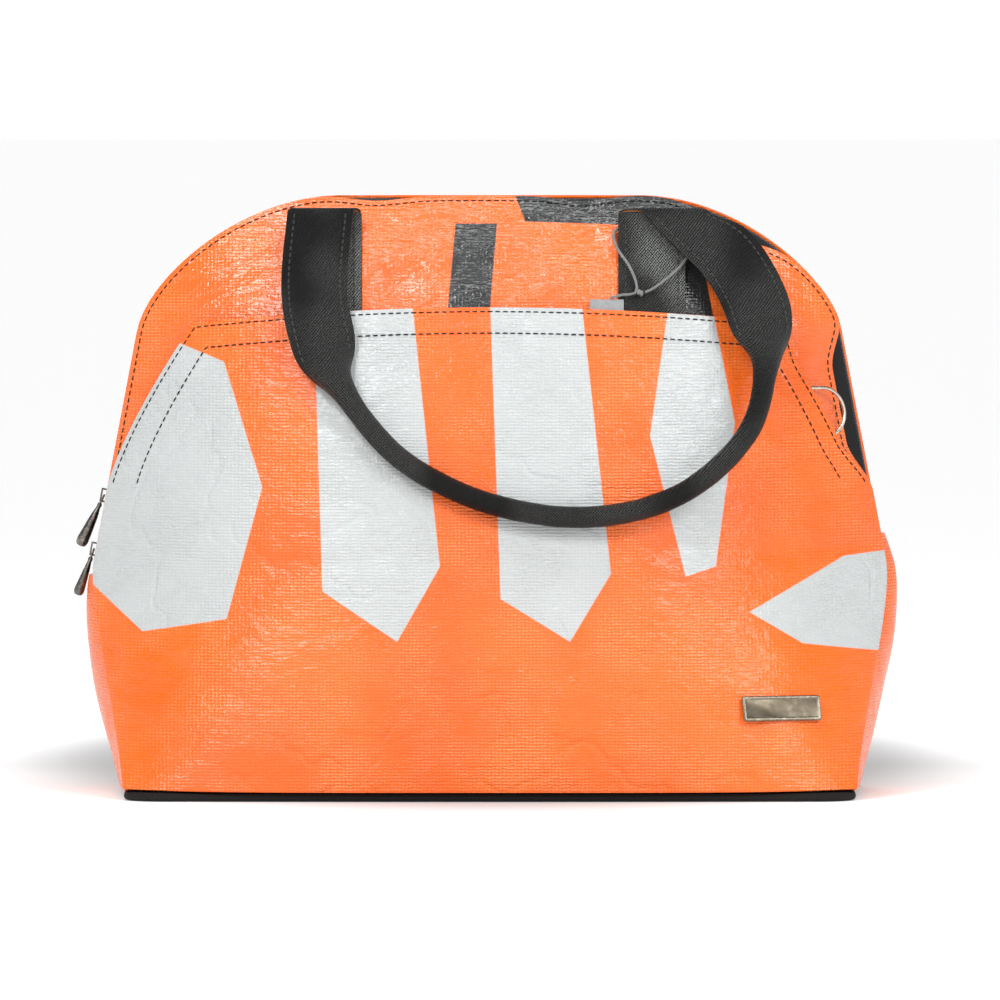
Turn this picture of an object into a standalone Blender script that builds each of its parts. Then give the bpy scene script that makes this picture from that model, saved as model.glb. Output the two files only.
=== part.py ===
"""Zip-top carry bag with a slip pocket, two leather handles and a double-slider zip.

Metres, +Z up.  The front faces -Y.  The origin is on the floor under the middle of the base.
"""

from math import cos, pi, radians, sin

import bmesh
import bpy
import numpy as np
from mathutils import Matrix, Vector

# ---------------------------------------------------------------- overall sizes
HEIGHT = 0.339            # floor to the top of the arch
BASE_WIDTH = 0.412        # across the base
BASE_DEPTH = 0.200        # front to back at the base
TOP_GAP = 0.029           # front panel edge to back panel edge, across the zip
CLEAR = 0.0003            # sewn or resting pieces lie this far apart

# ---------------------------------------------------------------- arch outline, right half
FLARE = 0.0185            # how much wider the body is than its base where the zip starts
ZIP_FOOT_Z = 0.134        # lower end of the straight side
SIDE_LEAN = 0.19          # the straight side leans in this much for each metre up
SHOULDER_DROP = 0.077     # the shoulder starts this far below the top
SHOULDER_RUN = 0.115      # and runs this far in before the top is level
BELLY = 0.012             # the front and back bow out this much above the base

# ---------------------------------------------------------------- how the faces turn to the sides
FOOT_SET_BACK = 0.012     # a panel's lower edge lies this far inside the base's edge
FOOT_EDGE_Z = 0.140       # the panels' edges reach the zip at this height
FOOT_EDGE_CURVE = 1.3
FACE_CURVE = 3.0          # how squarely a face turns in at the sides, higher up
FOOT_CURVE = 6.0          # and how much more squarely at the base

# ---------------------------------------------------------------- shells
PANEL = 0.0020            # front and back panel, with their lining
GUSSET = 0.0020
GUSSET_BULGE = 0.0045
GUSSET_END = 0.0045       # the gusset ends this far below the zip
POCKET = 0.0012
POCKET_TOP = 0.2675       # corner of the pocket's mouth
POCKET_CROWN = 0.0095     # its top edge rises this much in the middle
POCKET_TOP_WIDTH = 0.336
POCKET_SIDE_Z = 0.172     # below this the pocket is sewn into the side seam
POCKET_SLACK = 0.0118     # how far the mouth stands off the front panel
POCKET_GAP = 0.0024       # and how far the rest does
POCKET_FLARE_Z = 0.120    # the pocket starts to stand off here
POCKET_SIDE_CURVE = 1.3
BASE_PLATE = 0.0048
CORNER_LIFT = 0.0016      # the panels' lower corners clear the base by this much more
BASE_CORNER = 0.022
BOARD = 0.0025
BOARD_INSET = 0.012

# ---------------------------------------------------------------- zip
TEETH_OUT = -0.0015       # outer face of the teeth, from the arch outline
TEETH_THICK = 0.0024
TEETH_ROW = 0.0035        # width of one row
TEETH_SLOT = 0.0008       # half the space between the rows
TAPE_OUT = -0.0022
TAPE_THICK = 0.0008
ZIP_LEFT_END = 0.1285     # heights of the zip's two ends
ZIP_RIGHT_END = 0.152
SLIDER_LENGTH = 0.013
SLIDER_PLATE = 0.0012
SLIDER_HALF = 0.0056
SLIDER_LIP = 0.0008
SLIDER_PLAY = 0.0004
BRIDGE_CLEAR = 0.0022
BRIDGE_THICK = 0.0010
BRIDGE_WIDTH = 0.0016
BRIDGE_SPAN = 0.0080
UPPER_SLIDER_Z = 0.1685
LOWER_SLIDER_Z = 0.1380
UPPER_TRAVEL = 0.080
LOWER_TRAVEL = 0.003
PULL_RING = 0.0026
PULL_WIRE = 0.0006
UPPER_PULL = 0.0320       # pivot to the pull's lower end
UPPER_PULL_RADIUS = 0.0035
UPPER_PULL_LEAN = radians(15)
LOWER_PULL = 0.0280
LOWER_PULL_RADIUS = 0.0030
LOWER_PULL_LEAN = radians(9)

# ---------------------------------------------------------------- straps and handles
STRAP_WIDTH = 0.038
STRAP_THICK = 0.0024
STRAP_X = 0.0915          # middle of each strap, from the bag's middle
STRAP_FOOT_Z = 0.236
HINGE_DROP = 0.009        # the straps fold over this far below the top
HINGE_OUT = 0.0090        # and this far in front of the panel
FOLD_HALF = 0.0015        # half the space inside the fold, to the middle of the leather
LEATHER = 0.0013
LINING = 0.0008
GRIP_RADIUS = 0.0060
GRIP_SLIT = 0.0004
CORE_RADIUS = 0.0041
HANDLE_LEAN = radians(23)
# Handle's middle line: across the bag, and below the fold.
HANDLE_ROUTE = [(-0.0960, 0.0000), (-0.0990, 0.0400), (-0.0945, 0.0680), (-0.0840, 0.0965),
                (-0.0504, 0.1368), (0.0000, 0.1620), (0.0560, 0.1695), (0.1064, 0.1570),
                (0.1428, 0.1256), (0.1545, 0.0900), (0.1520, 0.0565), (0.1350, 0.0240),
                (0.1060, 0.0000)]
ROLL_START = 0.105        # along the leather from each fold, where it starts to roll
ROLL_LENGTH = 0.045
SQUARE_LENGTH = 0.045     # this much of the leather turns until it is square to the fold
HANDLE_STEPS = 34
STRAP_SLOPE = 0.30        # an anchored strap's top leans out this much for each metre down
PATCH_START = 0.004       # the backing patch starts this far above the strap's foot
PATCH_HEIGHT = 0.030
PATCH_THICK = 0.0010
PATCH_OVERLAP = 0.002     # the patch is this much wider than the strap at each side
LINING_INSET = 0.001      # the lining is this much narrower at each side

# ---------------------------------------------------------------- fittings
PLATE_SIZE = (0.047, 0.0145, 0.0016)
PLATE_X = 0.1635
PLATE_Z = 0.0520
BACKING_THICK = 0.0006
RING_HEIGHT = 0.029
RING_REACH = 0.025
RING_TILT = radians(4)    # the ring lies down on the curved panel
TAB = 0.0008
TAB_TAIL = 0.016          # from the ring's bar to the tab's sewn end
TAB_SHARE = 0.7           # the tab's width, as a share of the ring's height
RING_WIRE = 0.0010
RING_X = 0.1800
RING_Z = 0.2170
TAG_WIDTH = 0.019
TAG_X = 0.0660
TAG_TOP = 0.2810
TAG_LENGTH = 0.045
TAG_OUT = 0.0045          # the tag hangs this far off the front panel
TAG_CARD = 0.0006
STRING_RADIUS = 0.0008

PARTS = "carry_bag"
CUTTERS = "carry_bag_cutters"


# ================================================================ helpers
def clear_scene():
    for obj in list(bpy.data.objects):
        bpy.data.objects.remove(obj, do_unlink=True)


def collection(name):
    found = bpy.data.collections.get(name)
    if found is None:
        found = bpy.data.collections.new(name)
        bpy.context.scene.collection.children.link(found)
    return found


def material(name, colour, roughness, metallic=0.0):
    made = bpy.data.materials.get(name)
    if made is None:
        made = bpy.data.materials.new(name)
        made.use_nodes = True
        shader = made.node_tree.nodes["Principled BSDF"]
        shader.inputs["Base Color"].default_value = (*colour, 1.0)
        shader.inputs["Roughness"].default_value = roughness
        shader.inputs["Metallic"].default_value = metallic
    return made


def vinyl():
    return material("orange_vinyl", (0.90, 0.20, 0.03), 0.35)


def black_fabric():
    return material("black_fabric", (0.01, 0.01, 0.01), 0.8)


def leather():
    return material("black_leather", (0.012, 0.012, 0.013), 0.45)


def gunmetal():
    return material("gunmetal", (0.25, 0.24, 0.23), 0.25, 1.0)


def nickel():
    return material("nickel", (0.62, 0.58, 0.54), 0.2, 1.0)


def add(obj, look, where=PARTS):
    collection(where).objects.link(obj)
    if look is not None:
        obj.data.materials.append(look)
    return obj


def mesh_object(name, bm, look, where=PARTS):
    mesh = bpy.data.meshes.new(name)
    bm.to_mesh(mesh)
    bm.free()
    return add(bpy.data.objects.new(name, mesh), look, where)


def shell(name, place, columns, rows, thickness, look):
    """An open sheet whose point (u, v), each 0 to 1, is place(u, v); thickened inwards."""
    bm = bmesh.new()
    bmesh.ops.create_grid(bm, x_segments=columns, y_segments=rows, size=0.5)
    for vert in bm.verts:
        vert.co = place(vert.co.x + 0.5, vert.co.y + 0.5)
    obj = mesh_object(name, bm, look)
    solidify = obj.modifiers.new("thickness", "SOLIDIFY")
    solidify.thickness = thickness
    solidify.offset = -1.0
    obj.data.shade_smooth()
    return obj


def box(name, size, centre, look, where=PARTS, bevel=0.0):
    bm = bmesh.new()
    bmesh.ops.create_cube(bm, size=1.0)
    bmesh.ops.scale(bm, vec=size, verts=bm.verts)
    bmesh.ops.translate(bm, vec=centre, verts=bm.verts)
    obj = mesh_object(name, bm, look, where)
    if bevel > 0.0:
        rounding = obj.modifiers.new("edges", "BEVEL")
        rounding.width = bevel
        rounding.segments = 2
    return obj


def outline_curve(name, points, thickness, look, where=PARTS):
    """A flat closed outline in the local XY plane, thickened both ways along local Z."""
    data = bpy.data.curves.new(name, "CURVE")
    data.dimensions = "2D"
    data.fill_mode = "BOTH"
    data.extrude = thickness / 2
    data.render_resolution_u = 0
    spline = data.splines.new("POLY")
    spline.points.add(len(points) - 1)
    for point, (x, y) in zip(spline.points, points):
        point.co = (x, y, 0.0, 1.0)
    spline.use_cyclic_u = True
    return add(bpy.data.objects.new(name, data), look, where)


def wire(name, points, radius, look, closed=False, sides=2):
    data = bpy.data.curves.new(name, "CURVE")
    data.dimensions = "3D"
    data.bevel_depth = radius
    data.bevel_resolution = sides
    data.use_fill_caps = not closed
    data.render_resolution_u = 0
    spline = data.splines.new("POLY")
    spline.points.add(len(points) - 1)
    for point, place in zip(spline.points, points):
        point.co = (*place, 1.0)
    spline.use_cyclic_u = closed
    return add(bpy.data.objects.new(name, data), look)


def as_mesh(obj):
    """Replace a curve object by the mesh that it shows."""
    bpy.context.view_layer.update()
    depsgraph = bpy.context.evaluated_depsgraph_get()
    mesh = bpy.data.meshes.new_from_object(obj.evaluated_get(depsgraph))
    bm = bmesh.new()
    bm.from_mesh(mesh)
    bmesh.ops.remove_doubles(bm, verts=bm.verts, dist=1e-6)
    bmesh.ops.recalc_face_normals(bm, faces=bm.faces)
    bm.to_mesh(mesh)
    bm.free()
    name = obj.name
    matrix = obj.matrix_world.copy()
    home = obj.users_collection[0]
    bpy.data.objects.remove(obj, do_unlink=True)
    made = bpy.data.objects.new(name, mesh)
    made.matrix_world = matrix
    home.objects.link(made)
    return made


def join(obj, helper):
    helper.hide_render = True
    helper.display_type = "WIRE"
    union = obj.modifiers.new("with_" + helper.name, "BOOLEAN")
    union.operation = "UNION"
    union.solver = "EXACT"
    union.object = helper


def pivot(name, place, rotation=None):
    empty = bpy.data.objects.new(name, None)
    collection(PARTS).objects.link(empty)
    empty.matrix_world = Matrix.Translation(place) @ (rotation or Matrix()).to_4x4()
    return empty


def hang(obj, empty):
    """Parent a piece that is modelled where it stands."""
    obj.parent = empty
    obj.matrix_parent_inverse = empty.matrix_world.inverted()


def bezier(points, count):
    t = np.linspace(0.0, 1.0, count)[:, None]
    p = np.array(points)
    return (1 - t) ** 3 * p[0] + 3 * (1 - t) ** 2 * t * p[1] + 3 * (1 - t) * t ** 2 * p[2] + t ** 3 * p[3]


def smooth_route(points, count):
    """A Catmull-Rom curve through the points, cut into equal lengths."""
    p = np.array([2 * np.array(points[0]) - points[1], *points, 2 * np.array(points[-1]) - points[-2]])
    fine = []
    for i in range(1, len(p) - 2):
        for t in np.linspace(0.0, 1.0, 12, endpoint=False):
            fine.append(0.5 * (2 * p[i] + (p[i + 1] - p[i - 1]) * t
                               + (2 * p[i - 1] - 5 * p[i] + 4 * p[i + 1] - p[i + 2]) * t ** 2
                               + (3 * p[i] - p[i - 1] - 3 * p[i + 1] + p[i + 2]) * t ** 3))
    fine.append(p[-2])
    return even(np.array(fine), count)


def even(line, count):
    run = lengths(line)
    steps = np.linspace(0.0, run[-1], count)
    return np.stack([np.interp(steps, run, line[:, k]) for k in range(line.shape[1])], axis=1)


def lengths(line):
    return np.concatenate([[0.0], np.cumsum(np.linalg.norm(np.diff(line, axis=0), axis=1))])


# ================================================================ the bag's form
def half_outline():
    """Half width and height from the base's corner to where the top is level."""
    base = BASE_WIDTH / 2
    foot = base + FLARE
    shoulder_z = HEIGHT - SHOULDER_DROP
    shoulder = foot - SIDE_LEAN * (shoulder_z - ZIP_FOOT_Z)
    level = shoulder - SHOULDER_RUN
    low = bezier([(base, 0.0), (base + 0.003, ZIP_FOOT_Z / 3),
                  (foot + SIDE_LEAN * 0.025, ZIP_FOOT_Z - 0.025), (foot, ZIP_FOOT_Z)], 25)
    high = bezier([(shoulder, shoulder_z), (shoulder - 0.006, HEIGHT - 0.0455),
                   (level + 0.055, HEIGHT), (level, HEIGHT)], 33)
    return np.concatenate([low, high])


OUTLINE = half_outline()
OUTLINE_RUN = lengths(OUTLINE)
PROFILE = bezier([(BASE_DEPTH / 2, 0.0), (BASE_DEPTH / 2 + BELLY, HEIGHT * 0.295),
                  (BASE_DEPTH * 0.40, HEIGHT * 0.74), (TOP_GAP / 2, HEIGHT)], 60)


def half_width(z):
    return float(np.interp(z, OUTLINE[:, 1], OUTLINE[:, 0]))


def mid_depth(z):
    return float(np.interp(z, PROFILE[:, 1], PROFILE[:, 0]))


def edge_depth(z):
    """How far the panel's edge is from the middle plane."""
    low = BASE_DEPTH / 2 - FOOT_SET_BACK - TOP_GAP / 2
    return TOP_GAP / 2 + low * max(0.0, 1 - z / FOOT_EDGE_Z) ** FOOT_EDGE_CURVE


def panel_depth(x, z):
    """Outer face of the front or back panel, from the middle plane."""
    share = min(1.0, abs(x) / half_width(z))
    squareness = FACE_CURVE + FOOT_CURVE * max(0.0, 1 - z / ZIP_FOOT_Z) ** 2
    edge = edge_depth(z)
    return edge + (mid_depth(z) - edge) * (1 - share ** squareness)


def height_at(v, low, high):
    """Height at share v of the outline's length between two heights."""
    run = np.interp([low, high], OUTLINE[:, 1], OUTLINE_RUN)
    return float(np.interp(run[0] + v * (run[1] - run[0]), OUTLINE_RUN, OUTLINE[:, 1]))


def from_base(u, v, top):
    """Height of a sheet's point between the base and its top; its lower corners curl up."""
    return height_at(v, BASE_PLATE + CLEAR, top) + CORNER_LIFT * (1 - v) ** 4 * abs(2 * u - 1) ** 4


def on_panel(x, z, out, side=-1):
    """A point that lies out in front of the panel; side is -1 in front and 1 behind."""
    return Vector((-side * x, side * (panel_depth(x, z) + out), z))


# ================================================================ panels
def body_panel(name, side):
    def place(u, v):
        z = from_base(u, v, HEIGHT)
        return on_panel((2 * u - 1) * half_width(z), z, 0.0, side)
    return shell(name, place, 22, 14, PANEL, vinyl())


def pocket_half_width(z):
    low = half_width(POCKET_SIDE_Z)
    rise = min(1.0, max(0.0, (z - POCKET_SIDE_Z) / (POCKET_TOP - POCKET_SIDE_Z)))
    if rise == 0.0:
        return half_width(z)
    return low + (POCKET_TOP_WIDTH / 2 - low) * rise ** POCKET_SIDE_CURVE


def pocket_stand_off(x, z):
    rise = max(0.0, z - POCKET_FLARE_Z) / (POCKET_TOP - POCKET_FLARE_Z)
    share = min(1.0, abs(x) / pocket_half_width(min(z, POCKET_TOP)))
    return POCKET_GAP + (POCKET_SLACK - POCKET_GAP) * rise * (0.6 + 0.4 * (1 - share ** 4))


def pocket_point(u, v):
    z = from_base(u, v, POCKET_TOP)
    x = (2 * u - 1) * pocket_half_width(z)
    top = POCKET_CROWN * (1 - (2 * u - 1) ** 2) * v ** 4
    return on_panel(x, z + top, pocket_stand_off(x, z + top) + POCKET)


def pocket_depth(x, z):
    return panel_depth(x, z) + pocket_stand_off(x, z) + POCKET


def pocket_panel():
    return shell("pocket_panel", pocket_point, 22, 14, POCKET, vinyl())


def gusset(name, side, zip_end):
    """Wedge-shaped side; side is -1 on the left and 1 on the right."""
    def place(u, v):
        z = height_at(v, BASE_PLATE + CLEAR, zip_end - GUSSET_END)
        reach = edge_depth(z) - PANEL - CLEAR
        across = 2 * u - 1
        bulge = GUSSET_BULGE * (1 - across ** 2) * sin(pi * min(1.0, 0.15 + 0.75 * v)) - 0.001
        return Vector((side * (half_width(z) + bulge), side * across * reach, z))
    return shell(name, place, 8, 8, GUSSET, vinyl())


def base_outline(width, depth, corner):
    points = []
    for turn, (sx, sy) in enumerate([(1, 1), (-1, 1), (-1, -1), (1, -1)]):
        for step in range(5):
            angle = (turn + step / 4) * pi / 2
            points.append((sx * (width / 2 - corner) + corner * cos(angle),
                           sy * (depth / 2 - corner) + corner * sin(angle)))
    return points


def base():
    plate = outline_curve("base_panel", base_outline(BASE_WIDTH, BASE_DEPTH, BASE_CORNER),
                          BASE_PLATE, black_fabric())
    plate.location.z = BASE_PLATE / 2
    width = BASE_WIDTH - 2 * BOARD_INSET
    depth = BASE_DEPTH - 2 * BOARD_INSET
    board = outline_curve("base_board", base_outline(width, depth, BASE_CORNER - BOARD_INSET / 2),
                          BOARD, material("grey_board", (0.3, 0.3, 0.3), 0.8))
    board.location.z = BASE_PLATE + CLEAR + BOARD / 2


# ================================================================ zip
def zip_line():
    """The arch from the zip's left end, over the top, to its right end: x and z."""
    def half(start):
        keep = OUTLINE[OUTLINE[:, 1] > start]
        return np.concatenate([[(half_width(start), start)], keep])
    left = half(ZIP_LEFT_END) * (-1, 1)
    right = half(ZIP_RIGHT_END)[::-1]
    return np.concatenate([left, right])


ZIP_LINE = zip_line()
ZIP_RUN = lengths(ZIP_LINE)


def zip_point(run, out):
    """A point on the arch, moved out along its normal."""
    ahead = [np.interp(run + step, ZIP_RUN, ZIP_LINE[:, k]) for step in (-0.002, 0.002) for k in (0, 1)]
    tangent = Vector((ahead[2] - ahead[0], 0.0, ahead[3] - ahead[1])).normalized()
    normal = Vector((-tangent.z, 0.0, tangent.x))
    here = Vector((np.interp(run, ZIP_RUN, ZIP_LINE[:, 0]), 0.0, np.interp(run, ZIP_RUN, ZIP_LINE[:, 1])))
    return here + normal * out


def zip_band(name, inner, outer, out, thickness, side, segments, look):
    """A strip along the arch between two distances from the middle plane."""
    def place(u, v):
        run = u * ZIP_RUN[-1]
        point = zip_point(run, out)
        near, far = (inner, outer(point.z)) if side > 0 else (-outer(point.z), -inner)
        point.y = near + v * (far - near)
        return point
    return shell(name, place, segments, 1, thickness, look)


def zipper():
    row_end = TEETH_SLOT + TEETH_ROW
    for name, side in (("front", -1), ("back", 1)):
        zip_band("zipper_tape_" + name, row_end + CLEAR, lambda z: edge_depth(z) - PANEL,
                 TAPE_OUT, TAPE_THICK, side, 44, black_fabric())
        zip_band("zipper_teeth_" + name, TEETH_SLOT, lambda z: row_end,
                 TEETH_OUT, TEETH_THICK, side, 44, gunmetal())


def zip_end_tab(name, side, end_z):
    """A small patch over the tape's end, on the outside of the gusset's top."""
    def place(u, v):
        z = end_z - 2 * CLEAR - (1 - v) * (GUSSET_END - 4 * CLEAR)
        across = side * (2 * u - 1) * (edge_depth(z) - PANEL - 2 * CLEAR)
        return Vector((side * (half_width(z) + TEETH_OUT), across, z))
    return shell(name, place, 3, 2, POCKET, leather())


def slider_profile():
    half = SLIDER_HALF
    web = TEETH_SLOT - CLEAR
    top = TEETH_OUT + SLIDER_PLAY
    low = TEETH_OUT - TEETH_THICK - SLIDER_PLAY
    lip = half - SLIDER_LIP
    side = [(top + SLIDER_PLATE, half), (TAPE_OUT + SLIDER_PLAY, half), (TAPE_OUT + SLIDER_PLAY, lip),
            (top, lip), (top, web), (low, web), (low, lip),
            (TAPE_OUT - TAPE_THICK - SLIDER_PLAY, lip), (TAPE_OUT - TAPE_THICK - SLIDER_PLAY, half),
            (low - SLIDER_PLATE, half)]
    return [(-out, y) for out, y in side] + [(-out, -y) for out, y in reversed(side)]


def slider(name, z, travel):
    """A slider on the left side of the zip, in a frame with +Z up the zip and -X outwards."""
    foot = Vector((-half_width(z), 0.0, z))
    head = Vector((-half_width(z + travel), 0.0, z + travel))
    along = (head - foot).normalized()
    turn = Matrix.Rotation(np.arctan2(along.x, along.z), 3, "Y")
    empty = pivot(name + "_place", foot, turn)
    body = as_mesh(outline_curve(name, slider_profile(), SLIDER_LENGTH, None))
    body.data.materials.append(gunmetal())
    plate = TEETH_OUT + SLIDER_PLAY + SLIDER_PLATE
    top = plate + BRIDGE_CLEAR + BRIDGE_THICK / 2
    leg = BRIDGE_CLEAR + BRIDGE_THICK + SLIDER_PLATE / 2
    bars = [((BRIDGE_THICK, BRIDGE_WIDTH, BRIDGE_SPAN), (-top, 0, 0))]
    for end in (-1, 1):
        bars.append(((leg, BRIDGE_WIDTH, BRIDGE_THICK),
                     (-(plate + BRIDGE_CLEAR + BRIDGE_THICK - leg / 2), 0,
                      end * (BRIDGE_SPAN - BRIDGE_THICK) / 2)))
    for number, (size, centre) in enumerate(bars):
        bar = box(f"{name}_bar_{number}", size, centre, None, CUTTERS)
        bar.parent = empty
        join(body, bar)
    body.parent = empty
    return empty


def pull(name, slider_empty, length, radius, lean):
    """A club-shaped pull on a small ring; its pivot lies under the slider's bridge."""
    out = TEETH_OUT + SLIDER_PLAY + SLIDER_PLATE + BRIDGE_CLEAR / 2
    place = slider_empty.matrix_world @ Vector((-out, 0.0, 0.0))
    turn = slider_empty.matrix_world.to_3x3() @ Matrix.Rotation(lean, 3, "Y")
    empty = pivot(name + "_pivot", place, turn)
    neck = -2 * PULL_RING + PULL_WIRE / 2
    shape = [(0.0, neck), (0.0011, neck - 0.0002), (0.0013, neck - 0.0030), (0.62 * radius, neck - 0.008),
             (0.95 * radius, -length + 1.4 * radius), (radius, -length + 0.9 * radius),
             (0.7 * radius, -length + 0.25 * radius), (0.0, -length)]
    bm = bmesh.new()
    verts = [bm.verts.new((r, 0.0, z)) for r, z in shape]
    for first, second in zip(verts, verts[1:]):
        bm.edges.new((first, second))
    body = mesh_object(name, bm, gunmetal())
    turned = body.modifiers.new("turn", "SCREW")
    turned.steps = 12
    turned.render_steps = 12
    turned.use_merge_vertices = True
    turned.merge_threshold = 1e-5
    turned.use_normal_calculate = True
    bpy.ops.mesh.primitive_torus_add(major_radius=PULL_RING, minor_radius=PULL_WIRE,
                                     major_segments=16, minor_segments=6)
    ring = bpy.context.object
    ring.name = name + "_ring"
    for home in list(ring.users_collection):
        home.objects.unlink(ring)
    collection(CUTTERS).objects.link(ring)
    ring.data.transform(Matrix.Translation((0, 0, -PULL_RING)) @ Matrix.Rotation(pi / 2, 4, "Y"))
    for piece in (body, ring):
        piece.parent = empty
    join(body, ring)
    return empty


# ================================================================ straps and handles
HINGE_Z = HEIGHT - HINGE_DROP
HINGE_DEPTH = mid_depth(HINGE_Z) + HINGE_OUT


def strap_depth(x, z):
    """Back face of an anchored strap: on the panel, then straight to the fold."""
    to_fold = HINGE_DEPTH - FOLD_HALF - STRAP_THICK / 2 + STRAP_SLOPE * (HINGE_Z - z)
    return max(panel_depth(x, z) + 2 * CLEAR, to_fold)


def anchored_strap(name, side, across):
    def place(u, v):
        z = STRAP_FOOT_Z + v * (HINGE_Z - CLEAR - STRAP_FOOT_Z)
        x = across + (u - 0.5) * STRAP_WIDTH
        return Vector((-side * x, side * (strap_depth(x, z) + STRAP_THICK), z))
    return shell(name, place, 4, 12, STRAP_THICK, leather())


def strap_patch(name, side, across):
    """The backing patch inside the panel, where the strap is sewn on."""
    def place(u, v):
        z = STRAP_FOOT_Z + PATCH_START + v * PATCH_HEIGHT
        x = across + (u - 0.5) * (STRAP_WIDTH + 2 * PATCH_OVERLAP)
        return on_panel(x, z, -1.25 * PANEL - 2 * CLEAR, side)
    return shell(name, place, 4, 3, PATCH_THICK, black_fabric())


def handle_depth(z, side):
    """Middle line of a handle, from the middle plane: it rests on the bag's face."""
    fold = HINGE_DEPTH + FOLD_HALF + STRAP_THICK / 2
    below = min(1.0, max(0.0, (HINGE_Z - z) / (HINGE_Z - POCKET_TOP - POCKET_CROWN)))
    if side < 0:
        cover = pocket_stand_off(0.0, min(z, POCKET_TOP + POCKET_CROWN)) + POCKET
    else:
        cover = 0.0
    rest = mid_depth(z) + cover + GRIP_RADIUS + 2 * CLEAR
    hanging = fold + (mid_depth(z) - mid_depth(HINGE_Z)) * (1 - below)
    return hanging * (1 - below) + rest * below


def handle_line(side, count):
    flat = smooth_route([(x, HINGE_Z - 0.0005 - drop) for x, drop in HANDLE_ROUTE], count)
    return np.array([(-side * x, side * handle_depth(z, side), z) for x, z in flat])


def handle_frames(side, count):
    """Points along a handle, each with its direction, outward and sideways vectors."""
    line = handle_line(side, count)
    outward = Vector((0.0, side * cos(HANDLE_LEAN), sin(HANDLE_LEAN)))
    run = lengths(line)
    frames = []
    for i, point in enumerate(line):
        tangent = Vector(line[min(i + 1, count - 1)] - line[max(i - 1, 0)]).normalized()
        front = (outward - tangent * outward.dot(tangent)).normalized()
        aside = tangent.cross(front)
        square = max(0.0, 1 - min(run[i], run[-1] - run[i]) / SQUARE_LENGTH)
        aside = aside.lerp(Vector((1.0 if aside.x > 0 else -1.0, 0.0, 0.0)), square)
        frames.append((Vector(point), front, aside.normalized()))
    return frames, run


def rolled(frame, roll, across, lift):
    """A point of the leather: flat at roll 0 and closed into a tube at roll 1."""
    point, front, aside = frame
    if roll < 1e-3:
        return point + aside * across + front * lift
    radius = GRIP_RADIUS / roll
    turn = across / radius
    reach = radius + lift
    behind = radius * (1 - cos(pi * roll))
    forward = max(0.0, behind - GRIP_RADIUS) - radius
    return point + front * (forward + reach * cos(turn)) + aside * (reach * sin(turn))


def roll_at(run, total):
    share = (min(run, total - run) - ROLL_START) / ROLL_LENGTH
    share = min(1.0, max(0.0, share))
    return share * share * (3 - 2 * share)


def handle(name, side, empty):
    frames, run = handle_frames(side, HANDLE_STEPS + 1)
    width = 2 * pi * GRIP_RADIUS - GRIP_SLIT

    def place(u, v):
        i = round(v * HANDLE_STEPS)
        return rolled(frames[i], roll_at(run[i], run[-1]), (u - 0.5) * width, 0.0)
    strap = shell(name, place, 10, HANDLE_STEPS, LEATHER, leather())
    hang(strap, empty)
    flap = int(HANDLE_STEPS * ROLL_START / run[-1])
    starts = {"left": 0, "right": HANDLE_STEPS - flap}
    if side > 0:
        starts = {"right": 0, "left": HANDLE_STEPS - flap}
    for end, start in starts.items():
        def under(u, v, start=start):
            frame = frames[start + round(v * flap)]
            return rolled(frame, 0.0, (u - 0.5) * (width - 2 * LINING_INSET), -LEATHER - CLEAR)
        lining = shell(f"{name}_lining_{end}", under, 4, flap, LINING, leather())
        hang(lining, empty)
    core_line = [tuple(frames[i][0]) for i in range(len(frames)) if roll_at(run[i], run[-1]) >= 1.0]
    core = wire(name + "_core", core_line, CORE_RADIUS, material("rope", (0.6, 0.58, 0.5), 0.9))
    hang(core, empty)


def straps_and_handles():
    for end, side in (("front", -1), ("back", 1)):
        for hand, across in (("left", side * STRAP_X), ("right", -side * STRAP_X)):
            anchored_strap(f"strap_{end}_{hand}", side, across)
            strap_patch(f"strap_patch_{end}_{hand}", side, across)
        empty = pivot(f"{end}_handle_hinge", Vector((0.0, side * HINGE_DEPTH, HINGE_Z)))
        handle(f"handle_{end}", side, empty)


# ================================================================ fittings
def panel_frame(x, z, depth):
    """Axes on a face whose depth is depth(x, z): across, up and out."""
    step = 0.002
    across = Vector((2 * step, -(depth(x + step, z) - depth(x - step, z)), 0.0)).normalized()
    up = Vector((0.0, -(depth(x, z + step) - depth(x, z - step)), 2 * step))
    out = across.cross(up).normalized()
    up = out.cross(across)
    return Vector((x, -depth(x, z), z)), Matrix((across, up, out)).transposed()


def nameplate():
    place, turn = panel_frame(PLATE_X, PLATE_Z, pocket_depth)
    width, height, thick = PLATE_SIZE
    plate = box("nameplate", PLATE_SIZE, (0, 0, thick / 2 + 2 * CLEAR), nickel(), bevel=0.0005)
    back = box("nameplate_backing", (width / 2, height / 2, BACKING_THICK),
               (0, 0, -POCKET - 5 * CLEAR), nickel())
    empty = pivot("nameplate_place", place, turn)
    for piece in (plate, back):
        piece.parent = empty


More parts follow.
